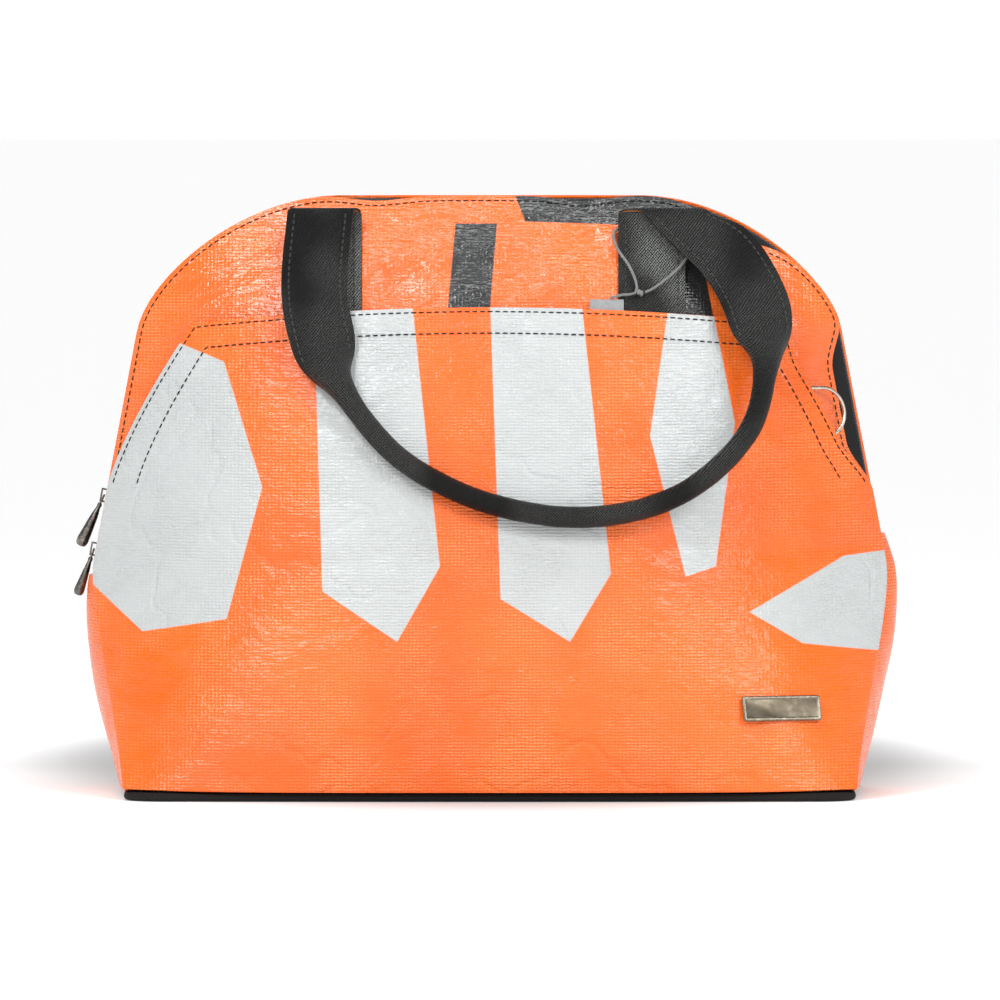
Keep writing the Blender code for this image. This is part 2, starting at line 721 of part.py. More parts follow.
def d_ring():
    place, turn = panel_frame(RING_X, RING_Z, panel_depth)
    lift = TAB + RING_WIRE + 2 * CLEAR
    bar = place + turn @ Vector((0, 0, lift))
    empty = pivot("d_ring_pivot", bar, turn @ Matrix.Rotation(RING_TILT, 3, "Y"))
    half = RING_HEIGHT / 2 - RING_WIRE
    bow = RING_REACH - RING_WIRE
    points = [(0.0, -half, 0.0), (bow - half, -half, 0.0)]
    points += [(bow - half + half * sin(a), -half * cos(a), 0.0) for a in np.linspace(0.2, pi - 0.2, 11)]
    points += [(bow - half, half, 0.0), (0.0, half, 0.0)]
    ring = wire("d_ring", points, RING_WIRE, gunmetal(), closed=True)
    ring.parent = empty
    wrap_inner = RING_WIRE + CLEAR
    wrap_outer = wrap_inner + TAB
    tail = -TAB_TAIL
    loop = [(tail, -wrap_outer)]
    loop += [(wrap_outer * cos(a), wrap_outer * sin(a)) for a in np.linspace(-pi / 2, pi / 2, 9)]
    loop += [(tail, wrap_outer), (tail, wrap_inner)]
    loop += [(wrap_inner * cos(a), wrap_inner * sin(a)) for a in np.linspace(pi / 2, -pi / 2, 9)]
    loop += [(tail, -wrap_inner)]
    tab = outline_curve("d_ring_tab", loop, RING_HEIGHT * TAB_SHARE, black_fabric())
    tab.matrix_world = Matrix.Translation(bar) @ (turn @ Matrix.Rotation(pi / 2, 3, "X")).to_4x4()


def hang_tag():
    def place(u, v):
        z = TAG_TOP - TAG_LENGTH * (1 - v)
        x = TAG_X + (u - 0.5) * TAG_WIDTH
        return on_panel(x, z, TAG_OUT)
    shell("hang_tag", place, 3, 5, TAG_CARD, material("grey_card", (0.45, 0.45, 0.45), 0.7))
    # The string's route: across the bag, height, and how far it lies off the front panel.
    route = [(0.0680, 0.2818, 0.0052), (0.0740, 0.2835, 0.0062), (0.0820, 0.2845, 0.0064),
             (0.0825, 0.2905, 0.0066), (0.0785, 0.3000, 0.0068), (0.0728, 0.3080, 0.0066),
             (0.0700, 0.3145, 0.0048), (0.0708, 0.3195, 0.0030), (0.0790, 0.3228, 0.0026),
             (0.0915, 0.3235, 0.0026), (0.1030, 0.3230, 0.0028), (0.1110, 0.3200, 0.0032),
             (0.1134, 0.3145, 0.0052), (0.1128, 0.3075, 0.0072), (0.1070, 0.2990, 0.0074),
             (0.0990, 0.2920, 0.0066), (0.0920, 0.2870, 0.0064), (0.0875, 0.2850, 0.0062)]
    points = smooth_route([(x, -panel_depth(x, z) - out, z) for x, z, out in route], 44)
    look = material("grey_cord", (0.5, 0.5, 0.5), 0.8)
    wire("tag_string", [tuple(p) for p in points], STRING_RADIUS, look)


# ================================================================ build
def build():
    clear_scene()
    body_panel("front_panel", -1)
    body_panel("back_panel", 1)
    pocket_panel()
    gusset("side_gusset_left", -1, ZIP_LEFT_END)
    gusset("side_gusset_right", 1, ZIP_RIGHT_END)
    base()
    zipper()
    zip_end_tab("zip_end_tab_left", -1, ZIP_LEFT_END)
    zip_end_tab("zip_end_tab_right", 1, ZIP_RIGHT_END)
    upper = slider("zip_slider_upper", UPPER_SLIDER_Z, UPPER_TRAVEL)
    lower = slider("zip_slider_lower", LOWER_SLIDER_Z, LOWER_TRAVEL)
    pull("zip_pull_upper", upper, UPPER_PULL, UPPER_PULL_RADIUS, UPPER_PULL_LEAN)
    pull("zip_pull_lower", lower, LOWER_PULL, LOWER_PULL_RADIUS, LOWER_PULL_LEAN)
    straps_and_handles()
    nameplate()
    d_ring()
    hang_tag()


build()
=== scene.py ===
"""Looks for the zip-top carry bag: fine surfaces, stitching, materials, light and camera.

Metres, +Z up; the front faces -Y.
"""

from math import atan2, cos, exp, pi, radians, sin

import bmesh
import bpy
import numpy as np
from mathutils import Matrix, Vector, noise


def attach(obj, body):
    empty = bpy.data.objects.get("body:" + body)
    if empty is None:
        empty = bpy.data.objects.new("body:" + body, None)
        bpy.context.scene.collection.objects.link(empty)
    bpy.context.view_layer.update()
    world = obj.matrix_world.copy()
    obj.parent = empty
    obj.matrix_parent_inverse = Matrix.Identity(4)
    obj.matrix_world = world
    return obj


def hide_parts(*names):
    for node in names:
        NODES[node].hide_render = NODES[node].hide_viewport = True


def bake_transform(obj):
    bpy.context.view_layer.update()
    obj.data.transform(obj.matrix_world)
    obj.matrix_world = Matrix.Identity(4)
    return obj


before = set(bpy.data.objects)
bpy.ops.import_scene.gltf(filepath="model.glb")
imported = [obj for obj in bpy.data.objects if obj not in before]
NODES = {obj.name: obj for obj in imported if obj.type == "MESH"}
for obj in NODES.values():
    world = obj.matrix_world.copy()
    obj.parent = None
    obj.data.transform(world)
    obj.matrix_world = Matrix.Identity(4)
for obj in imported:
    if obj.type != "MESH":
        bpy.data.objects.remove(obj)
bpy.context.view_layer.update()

# ---- the CAD model's sizes
HEIGHT = 0.339
BASE_WIDTH = 0.412
BASE_DEPTH = 0.2
TOP_GAP = 0.029
CLEAR = 0.0003
FLARE = 0.0185
ZIP_FOOT_Z = 0.134
SIDE_LEAN = 0.19
SHOULDER_DROP = 0.077
SHOULDER_RUN = 0.115
BELLY = 0.012
FOOT_SET_BACK = 0.012
FOOT_EDGE_Z = 0.14
PANEL = 0.002
GUSSET = 0.002
GUSSET_BULGE = 0.01
GUSSET_END = 0.0045
POCKET = 0.0012
POCKET_TOP = 0.2675
POCKET_CROWN = 0.0095
POCKET_TOP_WIDTH = 0.336
POCKET_SIDE_Z = 0.172
POCKET_SLACK = 0.0118
POCKET_GAP = 0.0024
POCKET_FLARE_Z = 0.12
BASE_PLATE = 0.0048
CORNER_LIFT = 0.0016
BASE_CORNER = 0.022
TEETH_OUT = -0.0015
TEETH_THICK = 0.0024
TEETH_ROW = 0.0035
TEETH_SLOT = 0.0008
SLIDER_PLATE = 0.0012
SLIDER_PLAY = 0.0004
BRIDGE_CLEAR = 0.0022
TAPE_OUT = -0.0022
TAPE_THICK = 0.0008
ZIP_LEFT_END = 0.1285
ZIP_RIGHT_END = 0.152
STRAP_WIDTH = 0.038
STRAP_THICK = 0.0024
STRAP_X = 0.0915
STRAP_FOOT_Z = 0.236
STRAP_SLOPE = 0.3
HINGE_DROP = 0.009
HINGE_OUT = 0.009
FOLD_HALF = 0.0015
LEATHER = 0.0013
LINING = 0.0008
GRIP_RADIUS = 0.006
GRIP_SLIT = 0.0004
HANDLE_LEAN = radians(23)
HANDLE_ROUTE = [(-0.096, 0.0), (-0.099, 0.04), (-0.0945, 0.068), (-0.084, 0.0965),
                (-0.0504, 0.1368), (0.0, 0.162), (0.056, 0.1695), (0.1064, 0.157),
                (0.1428, 0.1256), (0.1545, 0.09), (0.152, 0.0565), (0.135, 0.024),
                (0.106, 0.0)]
ROLL_START = 0.074
ROLL_LENGTH = 0.06
FLAP_LENGTH = 0.105       # the lining ends this far from each fold
SQUARE_LENGTH = 0.045
PLATE_SIZE = (0.047, 0.0145, 0.0016)
PLATE_X = 0.1635
PLATE_Z = 0.052
RING_HEIGHT = 0.029
RING_REACH = 0.025
RING_TILT = radians(4)
RING_WIRE = 0.001
TAB = 0.0008
RING_X = 0.18
RING_Z = 0.217

# ---- sizes of what is made here
HEM = 0.0148              # width of the pocket's folded hem
HEM_RAISE = 0.0005
EDGE_INSET = 0.01
STITCH = 0.0031
EDGE_SEAM_IN = 0.0028     # from the zip to the panel's row of stitches
SEAM_IN = 0.0042          # from a strap's edge to its row of stitches
STITCH_PITCH = 0.0043
THREAD = 0.0004
TOOTH_PITCH = 0.0017
SCENE_WIDTH = 0.568       # what the camera's view spans at the bag
CAMERA_AWAY = 8.0
CAMERA_RAISE = radians(2)
AIM = Vector((0.0057, 0.0, 0.166))
PAINTED_SHADOW_REACH = (0.215, 0.305)   # where the shadow painted on the floor round the bag begins to fade, and where it ends
SHARP_CLOTH = radians(35)  # bends sharper than these are shaded as edges
SHARP_TURNED = radians(40)
SHARP_METAL = radians(28)
RIB_PITCH = 0.00175
SCRIM_PITCH = 0.0021
STRAP_THREAD = 0.0005
STRING_THICK = 0.0016
KNOT = 0.0012
STRING_LAY = 0.0011       # from one twist to the next
PULL_EYE = 0.0026
PULL_WIRE = 0.0006
UPPER_SLIDER = (0.1685, 0.08)   # height and travel
LOWER_SLIDER = (0.138, 0.003)


# ==== camera, and a helper for softbox lights
def add(name, data):
    obj = bpy.data.objects.new(name, data)
    bpy.context.scene.collection.objects.link(obj)
    return obj


def make_camera():
    data = bpy.data.cameras.new("camera")
    data.sensor_width = 36.0
    data.lens = data.sensor_width * CAMERA_AWAY / SCENE_WIDTH
    data.clip_end = 200.0
    camera = add("camera", data)
    camera.location = AIM + Vector((0.0, -cos(CAMERA_RAISE), sin(CAMERA_RAISE))) * CAMERA_AWAY
    camera.rotation_euler = (pi / 2 - CAMERA_RAISE, 0.0, 0.0)
    bpy.context.scene.camera = camera


def softbox(name, place, aim, width, height, power):
    data = bpy.data.lights.new(name, "AREA")
    data.shape = "RECTANGLE"
    data.size, data.size_y, data.energy = width, height, power
    light = add(name, data)
    light.location = place
    light.rotation_euler = (Vector(aim) - Vector(place)).to_track_quat("-Z", "Y").to_euler()


make_camera()


# ==== the bag's form
def bezier(points, count):
    t = np.linspace(0.0, 1.0, count)[:, None]
    p = np.array(points)
    return (1 - t) ** 3 * p[0] + 3 * (1 - t) ** 2 * t * p[1] + 3 * (1 - t) * t ** 2 * p[2] + t ** 3 * p[3]


def lengths(line):
    return np.concatenate([[0.0], np.cumsum(np.linalg.norm(np.diff(line, axis=0), axis=1))])


def even(line, count):
    run = lengths(line)
    steps = np.linspace(0.0, run[-1], count)
    return np.stack([np.interp(steps, run, line[:, k]) for k in range(line.shape[1])], axis=1)


def smooth_route(points, count):
    """A Catmull-Rom curve through the points, cut into equal lengths."""
    p = np.array([2 * np.array(points[0]) - points[1], *points, 2 * np.array(points[-1]) - points[-2]])
    fine = []
    for i in range(1, len(p) - 2):
        for t in np.linspace(0.0, 1.0, 12, endpoint=False):
            fine.append(0.5 * (2 * p[i] + (p[i + 1] - p[i - 1]) * t
                               + (2 * p[i - 1] - 5 * p[i] + 4 * p[i + 1] - p[i + 2]) * t ** 2
                               + (3 * p[i] - p[i - 1] - 3 * p[i + 1] + p[i + 2]) * t ** 3))
    fine.append(p[-2])
    return even(np.array(fine), count)


def around(steps):
    return np.linspace(0, 2 * pi, steps, endpoint=False)


def smooth(value, low, high):
    share = min(1.0, max(0.0, (value - low) / (high - low)))
    return share * share * (3 - 2 * share)


def half_outline():
    base = BASE_WIDTH / 2
    foot = base + FLARE
    shoulder_z = HEIGHT - SHOULDER_DROP
    shoulder = foot - SIDE_LEAN * (shoulder_z - ZIP_FOOT_Z)
    level = shoulder - SHOULDER_RUN
    low = bezier([(base, 0.0), (base + 0.003, ZIP_FOOT_Z / 3),
                  (foot + SIDE_LEAN * 0.025, ZIP_FOOT_Z - 0.025), (foot, ZIP_FOOT_Z)], 25)
    high = bezier([(shoulder, shoulder_z), (shoulder - 0.006, HEIGHT - 0.0455),
                   (level + 0.055, HEIGHT), (level, HEIGHT)], 33)
    return np.concatenate([low, high])


OUTLINE = half_outline()
OUTLINE_RUN = lengths(OUTLINE)
PROFILE = bezier([(BASE_DEPTH / 2, 0.0), (BASE_DEPTH / 2 + BELLY, HEIGHT * 0.295),
                  (BASE_DEPTH * 0.4, HEIGHT * 0.74), (TOP_GAP / 2, HEIGHT)], 60)


def half_width(z):
    return float(np.interp(z, OUTLINE[:, 1], OUTLINE[:, 0]))


def mid_depth(z):
    return float(np.interp(z, PROFILE[:, 1], PROFILE[:, 0]))


def edge_depth(z):
    low = BASE_DEPTH / 2 - FOOT_SET_BACK - TOP_GAP / 2
    return TOP_GAP / 2 + low * max(0.0, 1 - z / FOOT_EDGE_Z) ** 1.3


def panel_depth(x, z):
    share = min(1.0, abs(x) / half_width(z))
    squareness = 3.0 + 6.0 * max(0.0, 1 - z / ZIP_FOOT_Z) ** 2
    edge = edge_depth(z)
    return edge + (mid_depth(z) - edge) * (1 - share ** squareness)


def height_at(v, low, high):
    run = np.interp([low, high], OUTLINE[:, 1], OUTLINE_RUN)
    return float(np.interp(run[0] + v * (run[1] - run[0]), OUTLINE_RUN, OUTLINE[:, 1]))


def from_base(u, v, top):
    return height_at(v, BASE_PLATE + CLEAR, top) + CORNER_LIFT * (1 - v) ** 4 * abs(2 * u - 1) ** 4


def pocket_half_width(z):
    low = half_width(POCKET_SIDE_Z)
    rise = min(1.0, max(0.0, (z - POCKET_SIDE_Z) / (POCKET_TOP - POCKET_SIDE_Z)))
    return half_width(z) if rise == 0.0 else low + (POCKET_TOP_WIDTH / 2 - low) * rise ** 1.3


def pocket_stand_off(x, z):
    rise = max(0.0, z - POCKET_FLARE_Z) / (POCKET_TOP - POCKET_FLARE_Z)
    share = min(1.0, abs(x) / pocket_half_width(min(z, POCKET_TOP)))
    return POCKET_GAP + (POCKET_SLACK - POCKET_GAP) * rise * (0.6 + 0.4 * (1 - share ** 4))


def mouth_height(x):
    """Height of the pocket's upper edge."""
    share = min(1.0, abs(x) / (POCKET_TOP_WIDTH / 2))
    return POCKET_TOP + POCKET_CROWN * (1 - share ** 2)


def wave(x, z, size, seed):
    return noise.noise(Vector((x / size, z / size, seed)))


def under_strap(x, z):
    """1 where a strap lies on the panel, and 0 away from it."""
    away = abs(abs(x) - STRAP_X)
    return (1 - smooth(away, 0.022, 0.034)) * smooth(z, STRAP_FOOT_Z - 0.016, STRAP_FOOT_Z - 0.004)


def panel_dent(x, z, side):
    """How far the vinyl of a panel lies off its drawn form: never proud of it by much."""
    share = abs(x) / half_width(z)
    free = (1 - under_strap(x, z)) * (1 - share ** 8) * (1 - smooth(z, HEIGHT - 0.03, HEIGHT - 0.006))
    soft = 0.001 * wave(x, z, 0.055, 3.1 + side) + 0.0005 * wave(x, z, 0.021, 7.7 + side)
    slack = smooth(z, 0.262, 0.285) if side < 0 else 0.5
    drape = 0.0052 * wave(x * 0.7, z * 1.6, 0.045, 2.4 + side) * slack
    return free * (min(0.0006, soft + drape) - 0.0004)


def pocket_dent(x, z):
    share = abs(x) / pocket_half_width(min(z, POCKET_TOP))
    free = (1 - share ** 8) * smooth(z, 0.006, 0.03)
    soft = 0.0014 * wave(x, z, 0.06, 1.7) + 0.0006 * wave(x, z, 0.019, 5.3)
    crease_z = 0.136 + 0.03 * x + 0.004 * wave(x, 0.0, 0.07, 9.0)
    crease = -0.0016 * exp(-((z - crease_z) / 0.0065) ** 2) * (0.4 + 0.6 * abs(wave(x, 0.3, 0.11, 2.0)) * 2)
    corner = 0.0
    for way, at, low in ((-1, 0.15, 0.062), (1, 0.168, 0.088)):
        lean = (z - low) - 0.55 * (way * x - at)
        corner -= 0.0012 * exp(-(lean / 0.004) ** 2) * smooth(way * x, at - 0.03, at + 0.02)
    hem = min(mouth_height(x) - z, (pocket_half_width(min(z, POCKET_TOP)) - abs(x)) * 0.86
              if z > POCKET_SIDE_Z else 1.0)
    raised = HEM_RAISE * (1 - smooth(hem, HEM - 0.0008, HEM + 0.0012))
    sag = -0.0012 * smooth(z, 0.22, 0.27) * max(0.0, wave(x, 0.0, 0.05, 4.4) * 1.6)
    return free * (min(0.0002, soft + crease) + corner) - 0.0005 + raised + sag


def outline_height(x):
    """Height of the arch above x."""
    return float(np.interp(-abs(x), -OUTLINE[24:, 0], OUTLINE[24:, 1]))


def edge_dip(x):
    """The front panel's upper edge sags a little between its stiffer stretches."""
    dip = 0.0
    for middle, reach, depth in ((0.052, 0.018, 0.003), (-0.064, 0.02, 0.0028), (0.14, 0.022, 0.0095)):
        dip += depth * exp(-((x - middle) / reach) ** 2)
    return dip


def side_inset(x, z):
    """On the right the front panel's edge is drawn in, and the zip shows beside it."""
    return EDGE_INSET * smooth(z, 0.172, 0.2) * (1 - smooth(z, 0.24, 0.272)) if x > 0 else 0.0


def panel_point(x, z, side=-1):
    depth = panel_depth(x, z) + panel_dent(x, z, side)
    if side < 0:
        dip = edge_dip(x) * smooth(z, outline_height(x) - 0.034, outline_height(x))
        x -= side_inset(x, z) * smooth(abs(x) / half_width(z), 0.84, 1.0)
        z -= dip
    return Vector((-side * x, side * depth, z))


def pocket_face(x, z):
    share = abs(x) / pocket_half_width(min(z, POCKET_TOP))
    shifted = x - 0.9 * side_inset(x, z) * smooth(share, 0.84, 1.0)
    out = panel_depth(shifted, z) + pocket_stand_off(x, z) + POCKET + pocket_dent(x, z)
    return Vector((shifted, -out, z))


# ==== meshes
def link(name, mesh, looks):
    obj = add(name, mesh)
    for look in looks if isinstance(looks, (list, tuple)) else [looks]:
        obj.data.materials.append(look)
    return obj


def meshed(name, bm):
    mesh = bpy.data.meshes.new(name)
    bm.to_mesh(mesh)
    bm.free()
    return mesh


def final(obj):
    """Apply the modifiers and shade the mesh smooth, with sharp edges kept."""
    bpy.context.view_layer.update()
    mesh = bpy.data.meshes.new_from_object(obj.evaluated_get(bpy.context.evaluated_depsgraph_get()))
    obj.modifiers.clear()
    obj.data = mesh
    mesh.shade_smooth()
    mesh.set_sharp_from_angle(angle=SHARP_CLOTH)
    return obj


def shell(name, place, columns, rows, thickness, look, bevel=0.0, rim=None):
    """A sheet whose point (u, v) is place(u, v), thickened inwards, with softened edges."""
    bm = bmesh.new()
    bmesh.ops.create_grid(bm, x_segments=columns, y_segments=rows, size=0.5)
    for vert in bm.verts:
        vert.co = place(vert.co.x + 0.5, vert.co.y + 0.5)
    obj = link(name, meshed(name, bm), [look] if rim is None else [look, rim])
    solidify = obj.modifiers.new("thickness", "SOLIDIFY")
    solidify.thickness = thickness
    solidify.offset = -1.0
    if rim is not None:
        solidify.material_offset_rim = 1
    if bevel > 0.0:
        rounding = obj.modifiers.new("edges", "BEVEL")
        rounding.width = bevel
        rounding.segments = 3
        rounding.limit_method = "ANGLE"
        rounding.angle_limit = radians(50)
    return final(obj)


def tube(bm, rings):
    """Faces along a closed run of vertex rings."""
    for here, ahead in zip(rings, rings[1:] + rings[:1]):
        for j in range(len(here)):
            after = (j + 1) % len(here)
            bm.faces.new((here[j], ahead[j], ahead[after], here[after])).smooth = True
    bmesh.ops.recalc_face_normals(bm, faces=bm.faces)


def wear(obj, body, slot, *nodes):
    """The piece rides on a body and stands for CAD nodes, which it hides; slot is not used."""
    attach(obj, body)
    if nodes:
        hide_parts(*nodes)
    return obj


def many(name, template, faces, frames, look):
    """Copies of a small template mesh, one for each 3x3 matrix and place, in one object."""
    turned = np.einsum("nij,vj->nvi", np.array([f[0] for f in frames]), np.array(template))
    verts = (turned + np.array([f[1] for f in frames])[:, None, :]).reshape(-1, 3)
    count = len(template)
    all_faces = [[i + k * count for i in face] for k in range(len(frames)) for face in faces]
    mesh = bpy.data.meshes.new(name)
    mesh.from_pydata(verts.tolist(), [], all_faces)
    mesh.shade_smooth()
    return link(name, mesh, look)


def lozenge(rings, sides):
    """A closed turned form along local X: rings are (along, radius), between two poles."""
    verts = [(rings[0][0], 0.0, 0.0)]
    for along, radius in rings[1:-1]:
        for k in range(sides):
            angle = 2 * pi * k / sides
            verts.append((along, radius * cos(angle), radius * sin(angle)))
    verts.append((rings[-1][0], 0.0, 0.0))
    last, faces = len(verts) - 1, []
    inner = len(rings) - 2
    for k in range(sides):
        after = (k + 1) % sides
        faces.append([0, 1 + after, 1 + k])
        for ring in range(inner - 1):
            a, b = 1 + ring * sides, 1 + (ring + 1) * sides
            faces.append([a + k, a + after, b + after, b + k])
        a = 1 + (inner - 1) * sides
        faces.append([a + k, a + after, last])
    return verts, faces


def stitches(name, rows, look, body, thread=THREAD):
    """Thread lying along each row of (point, outward) pairs."""
    template, faces = lozenge([(-0.5, 0), (-0.42, 0.75), (-0.2, 1.0), (0.2, 1.0), (0.42, 0.75), (0.5, 0)], 6)
    frames = []
    for row in rows:
        line = np.array([tuple(p) for p, _ in row])
        outs = np.array([tuple(n) for _, n in row])
        run = lengths(line)
        for number in range(int(run[-1] / STITCH_PITCH)):
            at = (number + 0.5) * STITCH_PITCH
            here, ahead, behind = (np.array([np.interp(at + step, run, line[:, k]) for k in range(3)])
                                   for step in (0.0, STITCH / 2, -STITCH / 2))
            out = Vector([np.interp(at, run, outs[:, k]) for k in range(3)]).normalized()
            along = Vector(ahead - behind).normalized()
            aside = out.cross(along).normalized()
            out = along.cross(aside)
            turn = Matrix((along * STITCH, aside * thread, out * thread)).transposed()
            frames.append((np.array(turn), here + np.array(out) * thread * 0.35))
    return wear(many(name, template, faces, frames, look), body, "black_leather")


def surface_row(face, pairs):
    """Stitch points on a face given by face(x, z), each with the face's normal."""
    row = []
    step = 0.0015
    for x, z in pairs:
        across = face(x + step, z) - face(x - step, z)
        up = face(x, z + step) - face(x, z - step)
        normal = across.cross(up).normalized()
        row.append((face(x, z), normal))
    return row


# ==== materials
class Look:
    """A Principled material and short calls for its nodes."""

    def __init__(self, name, roughness, metallic=0.0, specular=0.5, coat=0.0, coat_roughness=0.1):
        self.material = bpy.data.materials.new(name)
        self.material.use_nodes = True
        self.tree = self.material.node_tree
        self.shader = self.tree.nodes["Principled BSDF"]
        for socket, value in (("Roughness", roughness), ("Metallic", metallic),
                              ("Specular IOR Level", specular), ("Coat Weight", coat),
                              ("Coat Roughness", coat_roughness)):
            self.shader.inputs[socket].default_value = value
        self.place = self.tree.nodes.new("ShaderNodeTexCoord").outputs["Object"]
        split = self.tree.nodes.new("ShaderNodeSeparateXYZ")
        self.join(split.inputs[0], self.place)
        self.x, self.y, self.z = split.outputs

    def join(self, socket, value):
        if isinstance(value, bpy.types.NodeSocket):
            self.tree.links.new(socket, value)
        elif isinstance(value, tuple) and len(value) == 3 and socket.type == "RGBA":
            socket.default_value = (*value, 1.0)
        else:
            socket.default_value = value

    def node(self, kind, **inputs):
        node = self.tree.nodes.new("ShaderNode" + kind)
        for name, value in inputs.items():
            self.join(node.inputs[name], value)
        return node

    def math(self, operation, *values):
        node = self.tree.nodes.new("ShaderNodeMath")
        node.operation = operation
        for socket, value in zip(node.inputs, values):
            self.join(socket, value)
        return node.outputs[0]

    def chain(self, operation, values):
        total = values[0]
        for value in values[1:]:
            total = self.math(operation, total, value)
        return total

    def sum(self, *values):
        return self.chain("ADD", values)

    def scaled(self, value, factor):
        return self.math("MULTIPLY", value, factor)

    def lines(self, value, pitch, drift=None):
        """Even lines across value, one to each pitch, which drift pushes off their course."""
        turn = self.scaled(value, 2 * pi / pitch)
        return self.math("SINE", turn if drift is None else self.sum(turn, drift))

    def stretched(self, scale):
        return self.node("Mapping", Scale=scale, Vector=self.place).outputs[0]

    def noise(self, scale, detail=2.0, roughness=0.5, place=None):
        return self.node("TexNoise", Scale=scale, Detail=detail, Roughness=roughness,
                         Vector=self.place if place is None else place).outputs["Fac"]

    def ramp(self, value, low, high, start=0.0, end=1.0):
        node = self.tree.nodes.new("ShaderNodeMapRange")
        node.interpolation_type = "SMOOTHSTEP"
        for socket, number in zip(node.inputs[1:5], (low, high, start, end)):
            socket.default_value = number
        self.join(node.inputs[0], value)
        return node.outputs[0]

    def mix(self, factor, first, second):
        node = self.tree.nodes.new("ShaderNodeMix")
        node.data_type = "RGBA"
        self.join(node.inputs["Factor"], factor)
        self.join(node.inputs[6], first)
        self.join(node.inputs[7], second)
        return node.outputs[2]

    def bump(self, height, distance, strength=1.0, after=None):
        node = self.node("Bump", Strength=strength, Distance=distance, Height=height)
        if after is not None:
            self.join(node.inputs["Normal"], after)
        return node.outputs[0]

    def give(self, colour=None, roughness=None, normal=None):
        for name, value in (("Base Color", colour), ("Roughness", roughness), ("Normal", normal)):
            if value is not None:
                self.join(self.shader.inputs[name], value)
        return self.material

    # masks for printed areas: 1 inside, 0 outside, in the plane of the bag's face
    def beyond(self, across, up, reach, soft=0.0004):
        """1 where across * x + up * z is over reach."""
        value = self.sum(self.scaled(self.x, across), self.scaled(self.z, up))
        return self.ramp(value, reach - soft, reach + soft)

    def both(self, *masks):
        return self.chain("MULTIPLY", masks)

    def either(self, *masks):
        return self.chain("MAXIMUM", masks)


LEATHER_HATCH = ((0.85, 0.0015), (-0.95, 0.0017))    # slope and pitch of each set of lines
ORANGE = (0.86, 0.138, 0.006)
ORANGE_DEEP = (0.8, 0.108, 0.003)
WHITE_INK = (0.475, 0.495, 0.495)
BLACK_INK = (0.012, 0.013, 0.013)


def vinyl(name, printed=None, grain=(1.0, 0.0), coat=0.4, waves=0.0055):
    """Glossy banner vinyl: a scrim's ribs show through its printed skin, as bumps and as painted shade and
    painted glints in its colour.
    """
    look = Look(name, 0.34, specular=0.4, coat=coat, coat_roughness=0.12)
    across = look.sum(look.scaled(look.x, grain[0]), look.scaled(look.y, grain[1]))
    ribs = look.lines(look.z, RIB_PITCH, look.scaled(look.noise(300.0), 5.0))
    threads = look.lines(across, SCRIM_PITCH, look.scaled(look.noise(350.0), 5.0))
    patch = look.ramp(look.noise(28.0), 0.3, 0.7, 0.45, 1.0)
    scrim = look.sum(look.scaled(ribs, 0.8), look.scaled(threads, 0.4),
                     look.scaled(look.noise(1100.0), 1.6))
    scrim = look.scaled(scrim, patch)
    creases = look.noise(30.0, 4.0, 0.62, look.stretched((0.7, 0.7, 1.5)))
    ridges = look.math("ABSOLUTE", look.math("SUBTRACT", look.noise(15.0, 3.0), 0.5))
    ridges = look.ramp(ridges, 0.0, 0.03)
    body = look.mix(look.ramp(look.noise(9.0, 3.0), 0.3, 0.7), ORANGE_DEEP, ORANGE)
    # Painted shade: the scrim's hollows are darker orange. Painted glints: its ribs are lighter orange.
    body = look.mix(look.ramp(scrim, -1.4, 0.3, 0.75, 0.0), body, (0.74, 0.09, 0.006))
    body = look.mix(look.ramp(scrim, 0.75, 2.0, 0.0, 0.5), body, (1.0, 0.4, 0.12))
    if printed is not None:
        body = printed(look, body)
    normal = look.bump(scrim, 0.00022, 0.9)
    normal = look.bump(creases, 0.003, 0.6, normal)
    normal = look.bump(ridges, 0.0008, 0.45, normal)
    skin = look.bump(creases, waves, 0.7, look.bump(scrim, 0.00008, 0.8))
    look.join(look.shader.inputs["Coat Normal"], skin)
    rough = look.ramp(look.noise(60.0, 4.0), 0.3, 0.75, 0.24, 0.4)
    return look.give(body, rough, normal)


def polygon(look, corners):
    """Inside of a convex outline, its corners (x, z) given anticlockwise."""
    masks = []
    for (ax, az), (bx, bz) in zip(corners, corners[1:] + corners[:1]):
        edge = Vector((bx - ax, bz - az)).normalized()
        across, up = -edge.y, edge.x
        masks.append(look.beyond(across, up, across * ax + up * az))
    return look.both(*masks)


def pocket_print(look, body):
    """Plain white blocks."""
    blocks = [[(-0.235, 0.128), (-0.196, 0.094), (-0.148, 0.102), (-0.128, 0.176), (-0.15, 0.246),
               (-0.19, 0.262), (-0.235, 0.222)],
              [(-0.094, 0.118), (-0.052, 0.09), (-0.028, 0.132), (-0.046, 0.3), (-0.1, 0.3)],
              [(0.006, 0.114), (0.045, 0.09), (0.068, 0.128), (0.0494, 0.3), (-0.0006, 0.3)],
              [(0.11, 0.126), (0.152, 0.14), (0.138, 0.212), (0.15, 0.3), (0.104, 0.3), (0.09, 0.205)],
              [(0.146, 0.106), (0.176, 0.088), (0.24, 0.08), (0.24, 0.14), (0.2, 0.136)]]
    return look.mix(look.either(*[polygon(look, corners) for corners in blocks]), body, WHITE_INK)


def front_print(look, body):
    """Plain black blocks."""
    blocks = [[(-0.026, 0.25), (-0.002, 0.25), (0.004, 0.3235), (-0.0195, 0.3235)],
              [(0.02, 0.3245), (0.112, 0.3215), (0.12, 0.345), (0.012, 0.345)],
              [(0.076, 0.25), (0.13, 0.25), (0.118, 0.316), (0.072, 0.316)]]
    return look.mix(look.either(*[polygon(look, corners) for corners in blocks]), body, BLACK_INK)


